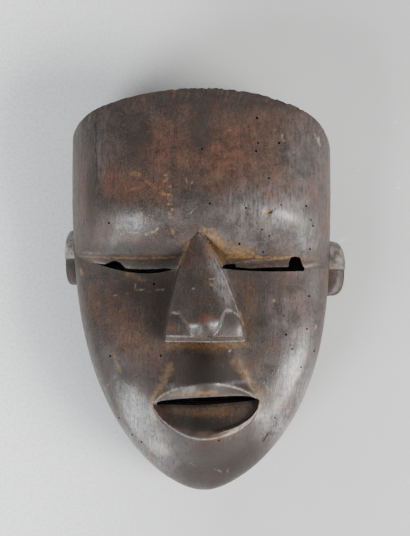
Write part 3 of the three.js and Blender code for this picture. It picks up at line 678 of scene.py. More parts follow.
def mouth_slit():
    across = np.linspace(*(MOUTH_X + end * MOUTH_HALF for end in MOUTH_SLIT_ENDS), MOUTH_SLIT_POINTS)
    m = mouth_curves(across)
    lower = np.column_stack([across, m.middle + m.slit_end - SLIT_PAST])
    upper = np.column_stack([across, m.middle + m.lip_edge - SLIT_PAST])[::-1]
    return prism("mouth_slit", np.concatenate([lower, upper]), SLIT_LOW, MOUTH_SLIT_HIGH)


EAR_ROOT, EAR_HALF, EAR_Z, EAR_FOOT, EAR_SHOULDER = 8, 16.8, 35, 13, 1.5
EAR_Y = (22.1, 15.4)
EAR_UPPER_FALL, EAR_STEP, EAR_OUTER_FALL, EAR_FULLNESS, EAR_KNIFE_DEPTH = 7, 4.5, 3.5, 2.9, 0.15
EAR_COLUMNS, EAR_ROWS = 19, 41


def ear_fall(along):
    """How far an ear tab lies below its middle: its upper half falls away, its lower half is cut back."""
    return EAR_UPPER_FALL * np.maximum(0, along) ** 2 + EAR_STEP * ease(0.08, -0.1, along)


def ear(sign):
    s, t = np.meshgrid(np.linspace(0, 1, EAR_COLUMNS), np.linspace(-1, 1, EAR_ROWS))
    if sign < 0:
        s = s[:, ::-1]
    along = np.sin(np.pi / 2 * t)
    widest = float(by_side(sign, HALF_WIDTH))
    reach = (EAR_SPAN / 2 - widest) * rounded_fall(along, EAR_FULLNESS)
    x = sign * (widest + mix(-EAR_ROOT, reach, s))
    y = by_side(sign, EAR_Y) + EAR_HALF * along
    z = EAR_Z - ear_fall(along) - EAR_OUTER_FALL * s**4 + EAR_KNIFE_DEPTH * knife_marks(x, y)
    shoulder = lambda edge: edge - (0, 0, EAR_SHOULDER)
    foot = lambda edge: np.stack([edge[:, 0], edge[:, 1], 0 * edge[:, 2] + EAR_FOOT], 1)
    return carved_block("ear", np.stack([x, y, z], 2), [shoulder, foot])


# Worm holes in the front, at x and y
WORM_HOLES = (
    (-1.7, 83.6), (30, 102.2), (30.4, 87.3), (29.2, 82.6), (42.6, 87.6), (36.5, 67), (2.8, 52.2),
    (23.2, 49.7), (43.3, 51.6), (58.3, 51.5), (61.5, 43.6), (62.9, 40.2), (32.6, 37.7), (36.7, 34.1),
    (19.8, 29.5), (61.6, 26.8), (33.6, 25), (-55.3, 41.6), (-55.7, -35.9), (-25.6, -35.4), (-30, 6.3),
    (-51.1, -73.4), (-43.3, -83.4), (-37.6, -87.4), (8, -83.3), (41, -72.2), (56.4, -42.5), (50.9, -31.7),
    (47.3, -23.2), (60, -20.2), (61.5, -0.9), (64.6, -33.5),
)
HOLE_RADIUS, HOLE_DEPTH, HOLE_CLEAR, HOLE_SIDES = 0.62, 5, 6, 10


def worm_holes():
    """All worm holes as one set of closed round cutters."""
    turn = np.arange(HOLE_SIDES) * 2 * np.pi / HOLE_SIDES
    radii = HOLE_RADIUS * np.random.default_rng(8).uniform(0.75, 1.2, len(WORM_HOLES))
    points, faces = [], []
    for (x, y), radius in zip(WORM_HOLES, radii):
        across, up = x + radius * np.cos(turn), y + radius * np.sin(turn)
        surface = float(front_height(np.array(x), np.array(y)))
        faces += tube_faces(HOLE_SIDES * len(points), HOLE_SIDES)
        for z in (surface - HOLE_DEPTH, surface + HOLE_CLEAR):
            points.append(np.column_stack([across, up, np.full(HOLE_SIDES, z)]))
    return object_of("worm_holes", np.concatenate(points), faces)


# Grooves: points along each, its widest width and its depth
CRACK = (
    (-63.9, 107.2), (-64.3, 99.9), (-63.4, 92.7), (-63.8, 86.1), (-63.1, 80.2), (-62.8, 72.5), (-62.2, 64)
)
GROOVES = ((CRACK, 0.55, 4), (((34.2, -86.4), (35.6, -83.8), (37.1, -81)), 0.9, 2))
GROOVE_CLEAR = 4


def groove(path, wide, deep):
    """A closed cutter along a path, as wide as given in its middle and narrowing to its ends."""
    x, y = np.array(path).T
    share = np.linspace(0, 1, len(path))
    half = 0.5 * wide * (0.25 + 0.75 * np.sin(np.pi * share) ** 0.5)
    surface = front_height(x, y)
    corners = (-half, GROOVE_CLEAR), (half, GROOVE_CLEAR), (0, -deep)
    edges = [np.stack([x + aside, y, surface + rise], 1) for aside, rise in corners]
    return object_of("groove", np.stack(edges, 1).reshape(-1, 3), tube_faces(0, len(corners), len(path)))


def build_mask():
    mask = front_block()
    for sign in (-1, 1):
        cut(mask, ear(sign), "UNION")
    cut(mask, hollow_block())
    for outline in (LEFT_SLIT, RIGHT_SLIT):
        cut(mask, prism("slit", outline, SLIT_LOW, SLIT_HIGH))
    cut(mask, mouth_slit())
    cut(mask, worm_holes())
    for marks in GROOVES:
        cut(mask, groove(*marks))
    return mask


SHARP_ANGLE = 48

mask = build_mask()
mask.name = "mask_carving"
mask.data.shade_smooth()
mask.data.set_sharp_from_angle(angle=np.radians(SHARP_ANGLE))
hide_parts("mask")
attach(mask, "root")

# Where worn edges, dust, stains, painted shade and painted highlights lie, stored with the mesh

# Soft spots: x, y, half-width, half-height and strength
SPOTS = {
    "red": (
        (-55, 66, 6, 10, 1), (-41, 63, 9, 10, 0.8), (-26, 60, 7, 9, 0.6), (-44, 21.6, 26, 1.4, 0.6),
        (-71, 52, 4, 9, 0.6), (-22, 84, 18, 16, 0.7), (8, 82, 22, 20, 0.8), (2, 64, 16, 8, 0.5),
        (62, 60, 5, 10, 0.35), (34, 80, 12, 22, 0.4), (28, 100, 12, 8, 0.4), (-54, -10, 5, 16, 0.65),
        (-64, -6, 4, 12, 0.7), (-46, -30, 10, 18, 0.45), (-28, -30, 12, 14, 0.3), (0.6, -11.5, 3.6, 3, 1),
        (-19.1, -18.2, 2.8, 2.6, 1), (14, -14, 2.4, 4.5, 0.6), (-19, -42, 10, 6, 0.3),
        (50, -4, 12, 14, 0.4), (60, -20, 5, 10, 0.4), (-14, -77.5, 7, 2.2, 0.6), (5, -79, 10, 2.4, 0.75),
        (-20, -90, 3, 6, 0.4),
    ),
    # Painted shade: darker colour where shade falls, under the nose, the brows and the upper lip, in the
    # bowl of the mouth, on the chin and on slopes whose highlights it dulls
    "painted_shade": (
        (2, -44, 21, 10, 1), (-78, 20, 14, 7, 0.7), (66, 19, 7, 7, 0.6), (-40, 4, 22, 9, 0.55),
        (-27, -16, 7, 14, 0.9), (36, 4, 16, 8, 0.5), (30, -14, 7, 12, 0.5), (0, 114, 60, 6, 0.5),
        (-3, 98, 8, 16, 0.7), (-38, 88, 6, 14, 0.6), (-66, 60, 3, 34, 0.5), (2, -74, 24, 4, 1),
        (-6, 54, 12, 14, 0.45), (-40, 13, 22, 3.5, 0.5), (-42, 19, 36, 4.2, 1), (62, 17.5, 8, 3.5, 1),
        (-26, -2, 5, 20, 0.9), (-50, -46, 9, 12, 0.9), (-52, -10, 8, 18, 0.35), (-4, 27, 6, 6, 0.8),
        (-44, 26.5, 36, 4.5, 0.75), (-52, 40, 10, 8, 0.4), (18, -53.5, 10, 2.6, 0.85),
        (27, -86, 9, 12, 0.7), (-4, -80, 18, 3, 0.5), (-3, 40, 12, 9, 0.5), (58, 18, 9, 3, 0.7),
        (2, -61.5, 28, 2.2, 1), (-2, -88, 16, 6, 0.6), (-17, 24, 6, 5, 0.7),
        (-24, -4, 8, 16, 0.8), (14.5, -13.5, 5.5, 6, 1), (-18.5, -12, 5, 3.5, 0.8),
        (24.6, -26, 1, 1.6, 1), (12, -100, 36, 17, 1), (6, -112, 22, 9, 1), (-3, -53, 18, 4, 0.4),
        (-3, 10, 9, 18, 0.35), (-34, -52, 8, 16, 0.4), (34.5, 47, 0.7, 0.6, 1), (46, 90.5, 0.7, 1.6, 0.8),
    ),
    "dust": (
        (0, -30, 16, 3, 0.55), (-2, -67.5, 24, 2.6, 0.75), (6, 27, 6, 7, 1), (17, 26, 10, 5, 0.6),
        (-9, 29, 5, 4, 0.4), (27, -14, 5, 16, 0.45), (27, 2, 6, 10, 0.25), (-30, -33, 7, 5, 0.3),
        (26, -42, 9, 7, 0.35), (-46, -12, 22, 26, 0.2), (38, 84, 8, 18, 0.2), (55, 20, 9, 3, 0.35),
        (61, 17, 8, 3.2, 0.45), (-68, 18.5, 10, 3.2, 0.4), (-44, 18.5, 26, 2.6, 0.25),
    ),
    # Polish: lower roughness, and a pale grey painted into the colour where the highlights fall, as painted
    # sheen
    "polish_and_sheen": (
        (-36, 44, 22, 6, 0.15), (36, 49, 25, 13, 0.75), (28, 36, 20, 9, 0.4), (58, 34, 8, 14, 0.7),
        (58, 74, 12, 28, 0.22), (-62, 84, 9, 18, 0.22), (5.5, 20, 4, 7, 0.8), (9.5, 8, 4, 8, 1),
        (13, -2, 3.5, 6, 0.8), (-42, -77, 9, 14, 0.8), (-28, -92, 13, 9, 1), (-22, -99, 12, 7, 1),
        (44, -79, 13, 15, 1), (44, -6, 16, 14, 0.4), (56, -50, 10, 24, 1), (-5, -19, 4, 3.5, 1),
        (5.5, -16.5, 3, 3, 1), (19.4, -19.2, 1.8, 2.8, 1), (14, -49.8, 12, 1.2, 1),
        (-18, -53, 10, 2.2, 0.6),
    ),
    # Pale marks; the spots at the right nostril's lower corner and in the left jaw's highlight are painted
    # highlights
    "pale_and_glint": (
        (-50, 39.5, 3.4, 1.8, 0.42), (-37, 46, 2.8, 2, 0.42), (48.5, 82, 1.4, 3, 0.25),
        (-27, -91, 8, 5, 0.45), (65.5, -19, 0.7, 1.5, 0.7), (19.4, -19.2, 1.2, 2, 0.8),
        (14.2, -32.3, 0.7, 0.7, 1), (10.3, -40.3, 0.6, 0.6, 0.8), (40.4, -3.5, 0.8, 0.8, 1),
    ),
}

# Soft strokes: the width, the strength and the points along each
STROKES = {
    "ochre": (
        (1.8, 0.6, (-1.5, 37.5), (2, 35), (5.5, 30), (9, 23.5), (10.4, 19)),
        (3.6, 0.5, (4, 35), (8, 30), (14, 25.4), (27, 23.4)), (3, 0.4, (11, 24), (14, 21)),
        (0.8, 0.65, (14, 22), (40, 21.4), (52, 21.8)), (1.4, 0.3, (52, 21.8), (67, 21)),
        (3, 0.5, (-20.5, -42), (-24, -50), (-27, -57)),
        (1.6, 0.45, (-20, -57), (-8.4, -55.4), (5.6, -54.6)),
        (1.6, 0.45, (-25.2, -51), (-29.4, -59), (-31.8, -66), (-31.2, -72)),
        (3.2, 0.4, (17, -38), (24.8, -48), (31.4, -58.8)), (2.4, 0.4, (28, -52), (33, -60), (32.6, -70)),
        (1.4, 0.42, (-46, 12.4), (-41, 10.6), (-36, 8.4)),
        (0.7, 0.4, (-75, 22.6), (-60, 21.8), (-40, 21.2), (-18, 21.8)),
        (1.4, 0.4, (-14.5, 18), (-12.6, 24), (-9.5, 30)), (2.4, 0.38, (-21, -28.8), (24.4, -28.8)),
        (1.3, 0.6, (-74, 14.5), (-73.4, 12.6)), (0.8, 0.9, (-25.2, 58.5), (-22.6, 57.4)),
        (0.6, 0.9, (-23.6, 68.7), (-21.8, 68.2)), (0.6, 0.9, (-22.8, 65), (-21.4, 65.9)),
        (0.6, 0.7, (-19, 37.6), (-18, 35.6)), (1.4, 0.4, (-42.6, 69.7), (-36.8, 69.4)),
        (0.8, 0.5, (-44, 60), (-38, 61.4)), (0.5, 0.5, (-36, 66), (-24, 59)),
        (1.8, 0.35, (-53, -34), (-50, -45)), (0.5, 0.4, (-48, -50), (-43, -57), (-40, -66)),
        (0.9, 0.8, (33.6, 46.8), (37.2, 47.4)), (1.2, 0.5, (34, 43), (36, 41)),
        (0.8, 0.6, (20.2, -10), (22, -18)),
    ),
    "scratch": (
        (0.45, 1, (-48.3, 35.3), (-44.5, 35.9), (-37, 35.6)),
        (0.45, 0.8, (-34, 35.4), (-28.8, 36.3), (-26.4, 38.6)),
        (0.3, 0.7, (-41.2, 3.4), (-33, 2.2), (-24.1, 2.8)), (0.4, 0.6, (-41.2, 6.6), (-41.2, 3.4)),
        (0.3, 0.5, (-56, -1), (-45, 1)), (0.5, 0.5, (-34.1, -81.2), (-25.7, -82.4)),
        (0.45, 0.7, (32.8, -50.2), (39.4, -56.8)), (0.35, 0.6, (-11, 66), (-10, 63.4), (-7, 64.6)),
        (0.35, 0.6, (-12, 61.6), (-8.5, 60.4)), (0.3, 0.5, (-9, 46), (-4, 51)),
        (0.4, 0.7, (2.4, 9.4), (5.4, 9.2)), (0.5, 0.7, (3, 6.8), (6.6, 5.2)),
        (0.4, 0.7, (-7.4, 4.2), (-5.2, 3.6)), (0.6, 0.35, (-8.8, -98.7), (-5.7, -100.7)),
        (0.5, 0.4, (5.7, -102.6), (10.1, -105)), (0.5, 0.4, (13.6, -103.5), (13.4, -105.2)),
        (0.6, 0.8, (64, 94), (66.5, 90.5), (68, 88)), (0.6, 0.5, (-57, -53), (-60, -56)),
    ),
    # Cracks, and painted shade along the mouth's slit
    "crack_and_cut_shade": (
        (0.4, 0.9, *CRACK), (0.8, 0.45, (-62.2, 64), (-61.8, 58), (-61.8, 50)),
        (0.3, 0.6, (35, 46.5), (29, 48.2), (23.2, 49.7)), (0.5, 0.9, (36, 47), (39.5, 47.8)),
        (0.7, 1, (34.4, -86.1), (37, -81.2)), (0.4, 0.6, (-13, 40), (-16, 37)),
        # Painted shade along the mouth's slit
        (1.2, 0.8, (-26, -64.7), (0.6, -63.6), (27, -62.3)),
    ),
}

# Worn edges along the lines of the carving, given as the strokes are
EDGES = (
    (0.5, 0.55, (-22.6, -26), (22.6, -25.8)), (0.4, 0.35, (-20.8, -22.8), (-7, -23)),
    (0.4, 0.3, (-12.2, -12.9), (-9, -17.6), (-6.3, -22.2)),
    (0.5, 0.45, (12.6, -7.4), (10.7, -9), (9.5, -12), (8.2, -15.8)),
    (0.45, 0.65, (19.6, -12.4), (15.7, -8.4), (12.8, -7.6)),
    (0.4, 0.65, (9.7, 14.6), (12.7, 7), (17.2, -4.6), (20, -13)), (0.8, 0.3, (-72, 24.8), (-62, 24.4)),
    (0.4, 0.4, (18, 18.8), (26.2, 19.9), (33.2, 20.6), (49, 21.2)),
)

# The row of small ochre marks down the left of the forehead: its ends, their count and width
TALLY_FROM, TALLY_TO, TALLY_MARKS, TALLY_WIDE = (-20.2, 62), (-19.4, 44), 10, 0.36
# A spot or stroke is at full strength within its core and gone past its reach, in half-widths
SPOT_CORE, SPOT_REACH, STROKE_CORE, STROKE_REACH = 0.2, 1.6, 0.3, 1.6
STROKE_WOBBLE = 0.2
EAR_SHEEN_SIDES, EAR_SHADE_SIDES = (1, 0.6), (0.35, 1)  # painted sheen is stronger on the left ear and painted shade on the right one, as the lights fall
EAR_MARK_DEPTH = (-5.4, -3.6)  # ear marks fade out over these heights against the ear's top


def spots_at(x, y, spots):
    total = np.zeros(len(x))
    for middle_x, middle_y, wide, tall, strength in spots:
        away = np.hypot((x - middle_x) / wide, (y - middle_y) / tall)
        total = np.maximum(total, strength * ease(SPOT_REACH, SPOT_CORE, away))
    return total


def strokes_at(x, y, strokes):
    total = np.zeros(len(x))
    for wide, strength, *path in strokes:
        for start, end in zip(path, path[1:]):
            away = line_distance(x, y, start, end) / wide
            share = clamp01((STROKE_REACH - away) / (STROKE_REACH - STROKE_CORE))
            total = np.maximum(total, strength * share)
    return total


def tally_strokes():
    """Short strokes down a line, each at its own slant and length."""
    slants = np.random.default_rng(11).uniform(-0.9, 0.9, (TALLY_MARKS, 2))
    strokes = []
    for step, (slant, shift) in zip(np.linspace(0, 1, TALLY_MARKS), slants):
        middle_x, middle_y = (mix(a, b, step) for a, b in zip(TALLY_FROM, TALLY_TO))
        half = 0.7 + 0.5 * abs(slant)
        start, end = (middle_x - half, middle_y + slant), (middle_x + half, middle_y - 0.6 * slant)
        strokes.append((TALLY_WIDE, 0.75 + 0.25 * shift, start, end))
    return strokes


def bending(x, y, reach):
    """How far the surface stands above (negative) or below its surroundings at a reach, as a slope."""
    turn = np.arange(6) * np.pi / 3
    around = sum(carved_height(x + reach * np.cos(t), y + reach * np.sin(t)) for t in turn) / len(turn)
    return (around - carved_height(x, y)) / reach


def rim_share(x, y):
    """1 on the raised rim of the lower lip, its right side wider, where a painted highlight lies."""
    m = mouth_curves(x)
    from_rim = y - m.middle + m.down
    inner = m.rim_in + m.down + 0.1
    inner = mix(0.5, 0.65 * inner, ease(8, 18, x))
    on_rim = ease(-1, -0.4, from_rim) * ease(inner + 0.3, inner - 0.5, from_rim)
    return on_rim * (y < m.middle) * ease(0, 0.1, m.inside)


def lip_ridge_share(x, y):
    """1 along the upper lip's ridge, mostly on its right, where a painted highlight lies."""
    m = mouth_curves(x)
    worn = np.maximum(ease(2, 10, x), 0.7 * ease(-8, -16, x))
    return worn * hump(y - m.middle - m.up + 0.4, 0.8) * ease(0, 0.15, m.inside)


def carving_marks(x, y, above_wall, flank):
    """Shares of worn edges and dusty creases, from how the carving bends."""
    fine, broad = bending(x, y, 1.2), bending(x, y, 5)
    off_nose = ease(20, 32, np.hypot(x, y + 4))
    edges = 0.2 * flank * ease(0.15, 0.6, -fine) * ease(12, 26, above_wall) * off_nose
    creases = flank * np.maximum(0.6 * ease(0.2, 0.7, fine), 0.3 * ease(0.15, 0.6, broad))
    return edges, creases * mix(0.35, 1, off_nose)


def ear_marks(x, y, z):
    """Shares of the painted sheen on the upper half and the painted shade on the lower half of the ear
    tabs' tops.
    """
    from_middle = y - by_side(x, EAR_Y)
    depth = z - EAR_Z + ear_fall(from_middle / EAR_HALF)
    on_ear = (np.abs(across_share(x, y)) > 1.002) * ease(*EAR_MARK_DEPTH, depth)
    below_step = from_middle < -0.6
    upper, lower = on_ear * by_side(x, EAR_SHEEN_SIDES), on_ear * by_side(x, EAR_SHADE_SIDES)
    return {"ear_painted_sheen": upper * ~below_step, "ear_painted_shade": lower * below_step}


def surface_marks(points):
    """Shares from 0 to 1 of each kind of mark at each point of the mesh."""
    x, y, z = points.T
    above_wall = z - wall_top(y)
    beyond = np.abs(across_share(x, y))
    on_front = ease(2.5, 1, np.abs(z - front_height(x, y))) * (beyond < 0.995)
    on_front = on_front * ease(0, 3, above_wall)
    in_hollow = in_plan(x, y, WALL - 1, HOLLOW_CHIN - 1, HOLLOW_TOP + 1)
    behind = in_hollow & (z < hollow_height(x, y) + 2) & (on_front < 0.5)
    in_cut = (on_front < 0.5) & ~behind & in_plan(x, y, 3, Y_CHIN + 3, Y_TOP - 3, CORNER_DROP)
    marks = {name: on_front * spots_at(x, y, spots) for name, spots in SPOTS.items()}
    wobbly_x = x + STROKE_WOBBLE * rough_marks(x, y)
    wobbly_y = y + STROKE_WOBBLE * rough_marks(y, x)
    strokes = {name: on_front * strokes_at(wobbly_x, wobbly_y, paths) for name, paths in STROKES.items()}
    tally = on_front * strokes_at(wobbly_x, wobbly_y, tally_strokes())
    flank = on_front * ease(1, 0.94, beyond) * ease(2, 12, above_wall)
    edges, creases = carving_marks(x, y, above_wall, flank)
    # The lip marks are partly worn edges and partly painted highlight, stronger on the right side
    rim_wear_and_sheen = mix(0.55, 0.7, ease(4, 14, x))
    lips = np.maximum(rim_wear_and_sheen * rim_share(x, y), 0.8 * lip_ridge_share(x, y))
    brow_chip, *edge_chips = chip_share(x, y)
    return {
        **marks,
        **strokes,
        "polish_and_sheen": marks["polish_and_sheen"] * ease(0, 16, above_wall),
        "pale_and_glint": np.maximum(marks["pale_and_glint"], 0.6 * on_front * clamp01(sum(edge_chips))),
        "dust": np.maximum(marks["dust"], creases * (1 - 0.8 * marks["painted_shade"])),
        "ochre": np.maximum.reduce([strokes["ochre"], tally, on_front * brow_chip]),
        "wear_and_sheen": np.maximum.reduce([edges, on_front * strokes_at(x, y, EDGES), lips]),
        # Cracks, and the walls of the slits, holes and grooves painted near black as shade
        "crack_and_cut_shade": np.maximum(strokes["crack_and_cut_shade"], in_cut),
        "behind": behind.astype(float),
        **ear_marks(x, y, z),
    }


def store_marks(piece):
    points = np.empty(3 * len(piece.data.vertices))
    piece.data.vertices.foreach_get("co", points)
    for name, share in surface_marks(points.reshape(-1, 3) / MM).items():
        mark = piece.data.attributes.new(name, "FLOAT", "POINT")
        mark.data.foreach_set("value", share.astype(np.float32))


store_marks(mask)

# Materials

# Near black for cracks and for painted shade in the slits, holes and grooves
CRACK_AND_SHADE_BLACK = (0.004, 0.003, 0.003)
DEEP_BROWN = (0.0148, 0.0102, 0.0084)
WARM_BROWN = (0.052, 0.0235, 0.0138)
GREY_BROWN = (0.058, 0.049, 0.043)
DRY_BROWN = (0.084, 0.067, 0.056)
RED_BROWN = (0.16, 0.043, 0.013)
DUST_BROWN = (0.092, 0.052, 0.021)
OCHRE = (0.18, 0.098, 0.036)
CREAM = (0.25, 0.19, 0.13)
# Pale marks, also used for painted highlights at a few spots
PALE_AND_GLINT = (0.24, 0.185, 0.125)
# Worn edges, also used for painted highlights along the lips
WORN_GREY_AND_SHEEN = (0.26, 0.235, 0.2)
# Painted sheen: pale grey put where the highlights fall
PAINTED_SHEEN_GREY = (0.21, 0.207, 0.215)
RAW_WOOD = (0.11, 0.066, 0.038)
# Painted sheen and painted shade for the ear tabs
EAR_SHEEN_GREY = (0.27, 0.24, 0.215)
EAR_SHADE_BROWN = (0.02, 0.013, 0.008)


class Graph:
    """Adds nodes to one material or world and joins them up."""

    def __init__(self, owner, shader="Principled BSDF"):
        owner.use_nodes = True
        self.owner = owner
        self.tree = owner.node_tree
        self.shader = self.tree.nodes[shader]

    def add(self, kind, inputs, **settings):
        node = self.tree.nodes.new("ShaderNode" + kind)
        for name, value in settings.items():
            setattr(node, name, value)
        for socket, value in inputs.items():
            self.put(node.inputs[socket], value)
        return node

    def put(self, socket, value):
        if isinstance(value, bpy.types.NodeSocket):
            self.tree.links.new(value, socket)
        elif socket.type == "RGBA":
            socket.default_value = (*value, 1)
        else:
            socket.default_value = value

    def shade(self, name, value):
        self.put(self.shader.inputs[name], value)

    def place(self, kind="Object"):
        return self.add("TexCoord", {}).outputs[kind]

    def axes(self, place):
        return self.add("SeparateXYZ", {0: place}).outputs

    def noise(self, place, scale, detail=4.0, roughness=0.6):
        settings = {"Vector": place, "Scale": scale, "Detail": detail, "Roughness": roughness}
        return self.add("TexNoise", settings).outputs["Fac"]

    def stretched(self, place, factors):
        return self.add("VectorMath", {0: place, 1: factors}, operation="MULTIPLY").outputs[0]

    def between(self, value, low, high, to_low=0.0, to_high=1.0):
        inputs = {"Value": value, 1: low, 2: high, 3: to_low, 4: to_high}
        return self.add("MapRange", inputs).outputs["Result"]

    def times(self, a, b):
        return self.add("Math", {0: a, 1: b}, operation="MULTIPLY").outputs[0]

    def plus(self, a, *others):
        for b in others:
            a = self.add("Math", {0: a, 1: b}, operation="ADD").outputs[0]
        return a

    def layered(self, colour, layers):
        """The colour under all layers, each a share and a tint."""
        for share, tint in layers:
            mixed = self.add("Mix", {0: share, 6: colour, 7: tint}, data_type="RGBA", clamp_factor=True)
            colour = mixed.outputs[2]
        return colour

    def mark(self, name):
        return self.add("Attribute", {}, attribute_name=name).outputs["Fac"]

    def broken(self, name, breaker, strength=1.0):
        """A stored mark broken up by a noise, so that it has ragged borders and gaps."""
        ragged = self.times(self.mark(name), self.between(breaker, 0.3, 0.65, 0.2, 1.6))
        return self.between(ragged, 0.12, 1, 0, strength)


WAX = {"Specular IOR Level": 0.4, "Coat Weight": 0.16, "Coat Roughness": 0.26}
RELIEF_STRENGTH, RELIEF_DEPTH = 0.3, 0.0004


def patinated_wood():
    """Dark waxed wood: mottled patina, upright grain, ochre dust in the creases, lighter worn edges,
    painted shade in the hollows and painted highlights where the lights fall.
    """
    graph = Graph(bpy.data.materials.new("patinated_wood"))
    between, mark, broken, times, plus = graph.between, graph.mark, graph.broken, graph.times, graph.plus
    place = graph.place()
    along_grain = graph.stretched(place, (1, 0.12, 0.5))
    streaks = graph.noise(along_grain, 850, 3, 0.65)
    wide_streaks = graph.noise(along_grain, 130, 4)
    clouds = graph.noise(place, 45, 5)
    patches = graph.noise(place, 150, 6, 0.65)
    specks = graph.noise(place, 430, 4, 0.75)
    grit = graph.noise(place, 1250, 2, 0.7)
    pores = graph.noise(graph.stretched(place, (1, 0.3, 1)), 1000, 2)
    flecks = graph.noise(graph.stretched(place, (1, 0.7, 1)), 800, 3, 0.8)

    red_grain = plus(times(patches, 0.7), times(plus(streaks, specks), 0.45))
    layers = (
        (between(clouds, 0.36, 0.62), WARM_BROWN),
        (between(patches, 0.42, 0.7, 0, 0.55), GREY_BROWN),
        (times(mark("red"), between(red_grain, 0.66, 0.98)), RED_BROWN),
        # Painted sheen: pale grey on the polished places where the highlights fall
        (times(mark("polish_and_sheen"), between(patches, 0.3, 0.62, 0.25, 0.8)), PAINTED_SHEEN_GREY),
        (between(wide_streaks, 0.48, 0.72, 0, 0.6), DEEP_BROWN),
        (between(streaks, 0.45, 0.68, 0, 0.85), DEEP_BROWN),
        (between(flecks, 0.6, 0.74, 0, 0.55), OCHRE),
        (between(grit, 0.5, 0.72, 0, 0.7), DRY_BROWN),
        # Painted shade: the colour darkened where shade falls
        (times(mark("painted_shade"), 0.97), DEEP_BROWN),
        # Painted sheen on the ears' upper halves and painted shade on their lower halves
        (times(mark("ear_painted_sheen"), between(patches, 0.35, 0.6)), EAR_SHEEN_GREY),
        (times(mark("ear_painted_shade"), between(patches, 0.35, 0.6)), EAR_SHADE_BROWN),
        (broken("dust", specks, 0.85), DUST_BROWN),
        (between(plus(specks, clouds), 1.16, 1.32, 0, 0.5), RED_BROWN),
        (broken("ochre", specks), OCHRE),
        (broken("scratch", specks, 0.75), CREAM),
        # Worn edges, with painted highlights along the lips
        (broken("wear_and_sheen", specks, 0.8), WORN_GREY_AND_SHEEN),
        # Pale marks and chipped edges, with painted highlights at a few spots
        (broken("pale_and_glint", specks, 0.85), PALE_AND_GLINT),
        (between(pores, 0.6, 0.68, 0, 0.8), DEEP_BROWN),
        # Cracks, and painted shade on the walls of the slits, holes and grooves and along the mouth's slit
        (broken("crack_and_cut_shade", specks), CRACK_AND_SHADE_BLACK),
        (mark("behind"), RAW_WOOD),
    )
    graph.shade("Base Color", graph.layered(DEEP_BROWN, layers))

    roughness = plus(
        between(specks, 0.3, 0.7, 0.36, 0.5),
        between(streaks, 0.4, 0.75, 0, 0.14),
        between(clouds, 0.4, 0.7, -0.04, 0.1),
        between(patches, 0.35, 0.7, -0.06, 0.1),
        times(mark("polish_and_sheen"), -0.14),
        times(plus(mark("dust"), mark("painted_shade")), 0.18),
        times(mark("ear_painted_shade"), 0.25),
        times(mark("behind"), 0.4),
    )
    graph.shade("Roughness", between(roughness, 0, 1))
    for name, value in WAX.items():
        graph.shade(name, value)

    raised = times(streaks, 0.5), times(specks, 0.45), times(grit, 0.2)
    relief = plus(*raised, between(pores, 0.58, 0.7, 0, -0.5))
    bump = graph.add("Bump", {"Strength": RELIEF_STRENGTH, "Distance": RELIEF_DEPTH, "Height": relief})
    for name in ("Normal", "Coat Normal"):
        graph.shade(name, bump.outputs["Normal"])
    return graph.owner


mask.data.materials.clear()
mask.data.materials.append(patinated_wood())

FLOOR_GREY, FLOOR_DULL, FLOOR_SCUFF = (0.5, 0.5, 0.5), (0.46, 0.46, 0.46), (0.72, 0.72, 0.71)
# Painted light: the floor's lighter colour towards the left
FLOOR_PAINTED_LIGHT = (0.82, 0.82, 0.83)


def painted_floor():
    """Pale grey floor with faint clouds, fine grain, a few light specks and painted light that makes it
    lighter towards the left.
    """
    graph = Graph(bpy.data.materials.new("floor_paint"))
    place = graph.place()
    grain = graph.noise(place, 500, 3, 0.7)
    layers = (
        (graph.between(graph.noise(place, 9, 5), 0.35, 0.65), FLOOR_GREY),
        # Painted light: lighter towards the left, against the right lamp's shadow
        (graph.between(graph.axes(place)["X"], 0.02, -0.13), FLOOR_PAINTED_LIGHT),
        (graph.between(grain, 0.4, 0.7, 0, 0.5), FLOOR_DULL),
        (graph.between(graph.noise(place, 95, 3, 0.6), 0.69, 0.75, 0, 0.6), FLOOR_SCUFF),
    )
    graph.shade("Base Color", graph.layered(FLOOR_DULL, layers))
    graph.shade("Roughness", graph.between(grain, 0, 1, 0.7, 0.85))
    return graph.owner


# Floor, light and camera

FLOOR_WIDTH = 6

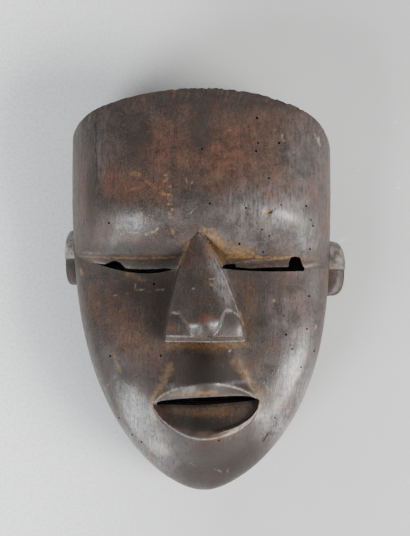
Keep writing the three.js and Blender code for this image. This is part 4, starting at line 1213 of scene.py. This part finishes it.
bpy.ops.mesh.primitive_plane_add(size=FLOOR_WIDTH)
floor = bpy.context.object
floor.name = "floor"
floor.data.materials.append(painted_floor())

# Large soft lights: name, place, width, power and colour
LIGHTS = (
    ("window_left", (-1.15, -1.15, 1.05), 0.85, 50, (0.93, 0.97, 1)),
    ("window_right", (1.5, -0.55, 1.1), 0.95, 72, (1, 0.99, 0.97)),
    ("window_front", (1.15, -1.1, 1.25), 0.9, 17, (0.97, 0.98, 1)),
)
LIGHT_AIM = Vector((0, 0, 0.04))


def area_light(name, place, size, power, color):
    data = bpy.data.lights.new(name, "AREA")
    data.shape, data.size, data.energy, data.color = "DISK", size, power, color
    lamp = bpy.data.objects.new(name, data)
    lamp.location = place
    lamp.rotation_euler = (LIGHT_AIM - Vector(place)).to_track_quat("-Z", "Y").to_euler()
    bpy.context.scene.collection.objects.link(lamp)


for light in LIGHTS:
    area_light(*light)

HORIZON_LIGHT, OVERHEAD_LIGHT, SHADED_SIDE, SHADE_FROM = 0.85, 0.5, 0.2, -0.9


def room():
    """Soft light from all round, weaker from overhead and from the chin's side."""
    graph = Graph(bpy.data.worlds.new("room"), "Background")
    axes = graph.axes(graph.place("Generated"))
    overhead = graph.between(axes["Z"], 0, 1, HORIZON_LIGHT, OVERHEAD_LIGHT)
    chin_side = graph.between(axes["Y"], SHADE_FROM, 0, SHADED_SIDE, 1)
    graph.shade("Strength", graph.times(overhead, chin_side))
    graph.shade("Color", (1, 1, 1))
    return graph.owner


bpy.context.scene.world = room()

# The camera looks straight down from above the bridge of the nose.
CAMERA_HEIGHT = 0.72
CAMERA_Y = 0.0157
FOCAL_PIXELS = 1130
FRAME_PIXELS = 536
SENSOR_WIDTH = 36

lens = bpy.data.cameras.new("camera")
lens.sensor_width = SENSOR_WIDTH
lens.lens = FOCAL_PIXELS * SENSOR_WIDTH / FRAME_PIXELS
camera = bpy.data.objects.new("camera", lens)
camera.location = (0, CAMERA_Y, CAMERA_HEIGHT)
bpy.context.scene.collection.objects.link(camera)
bpy.context.scene.camera = camera
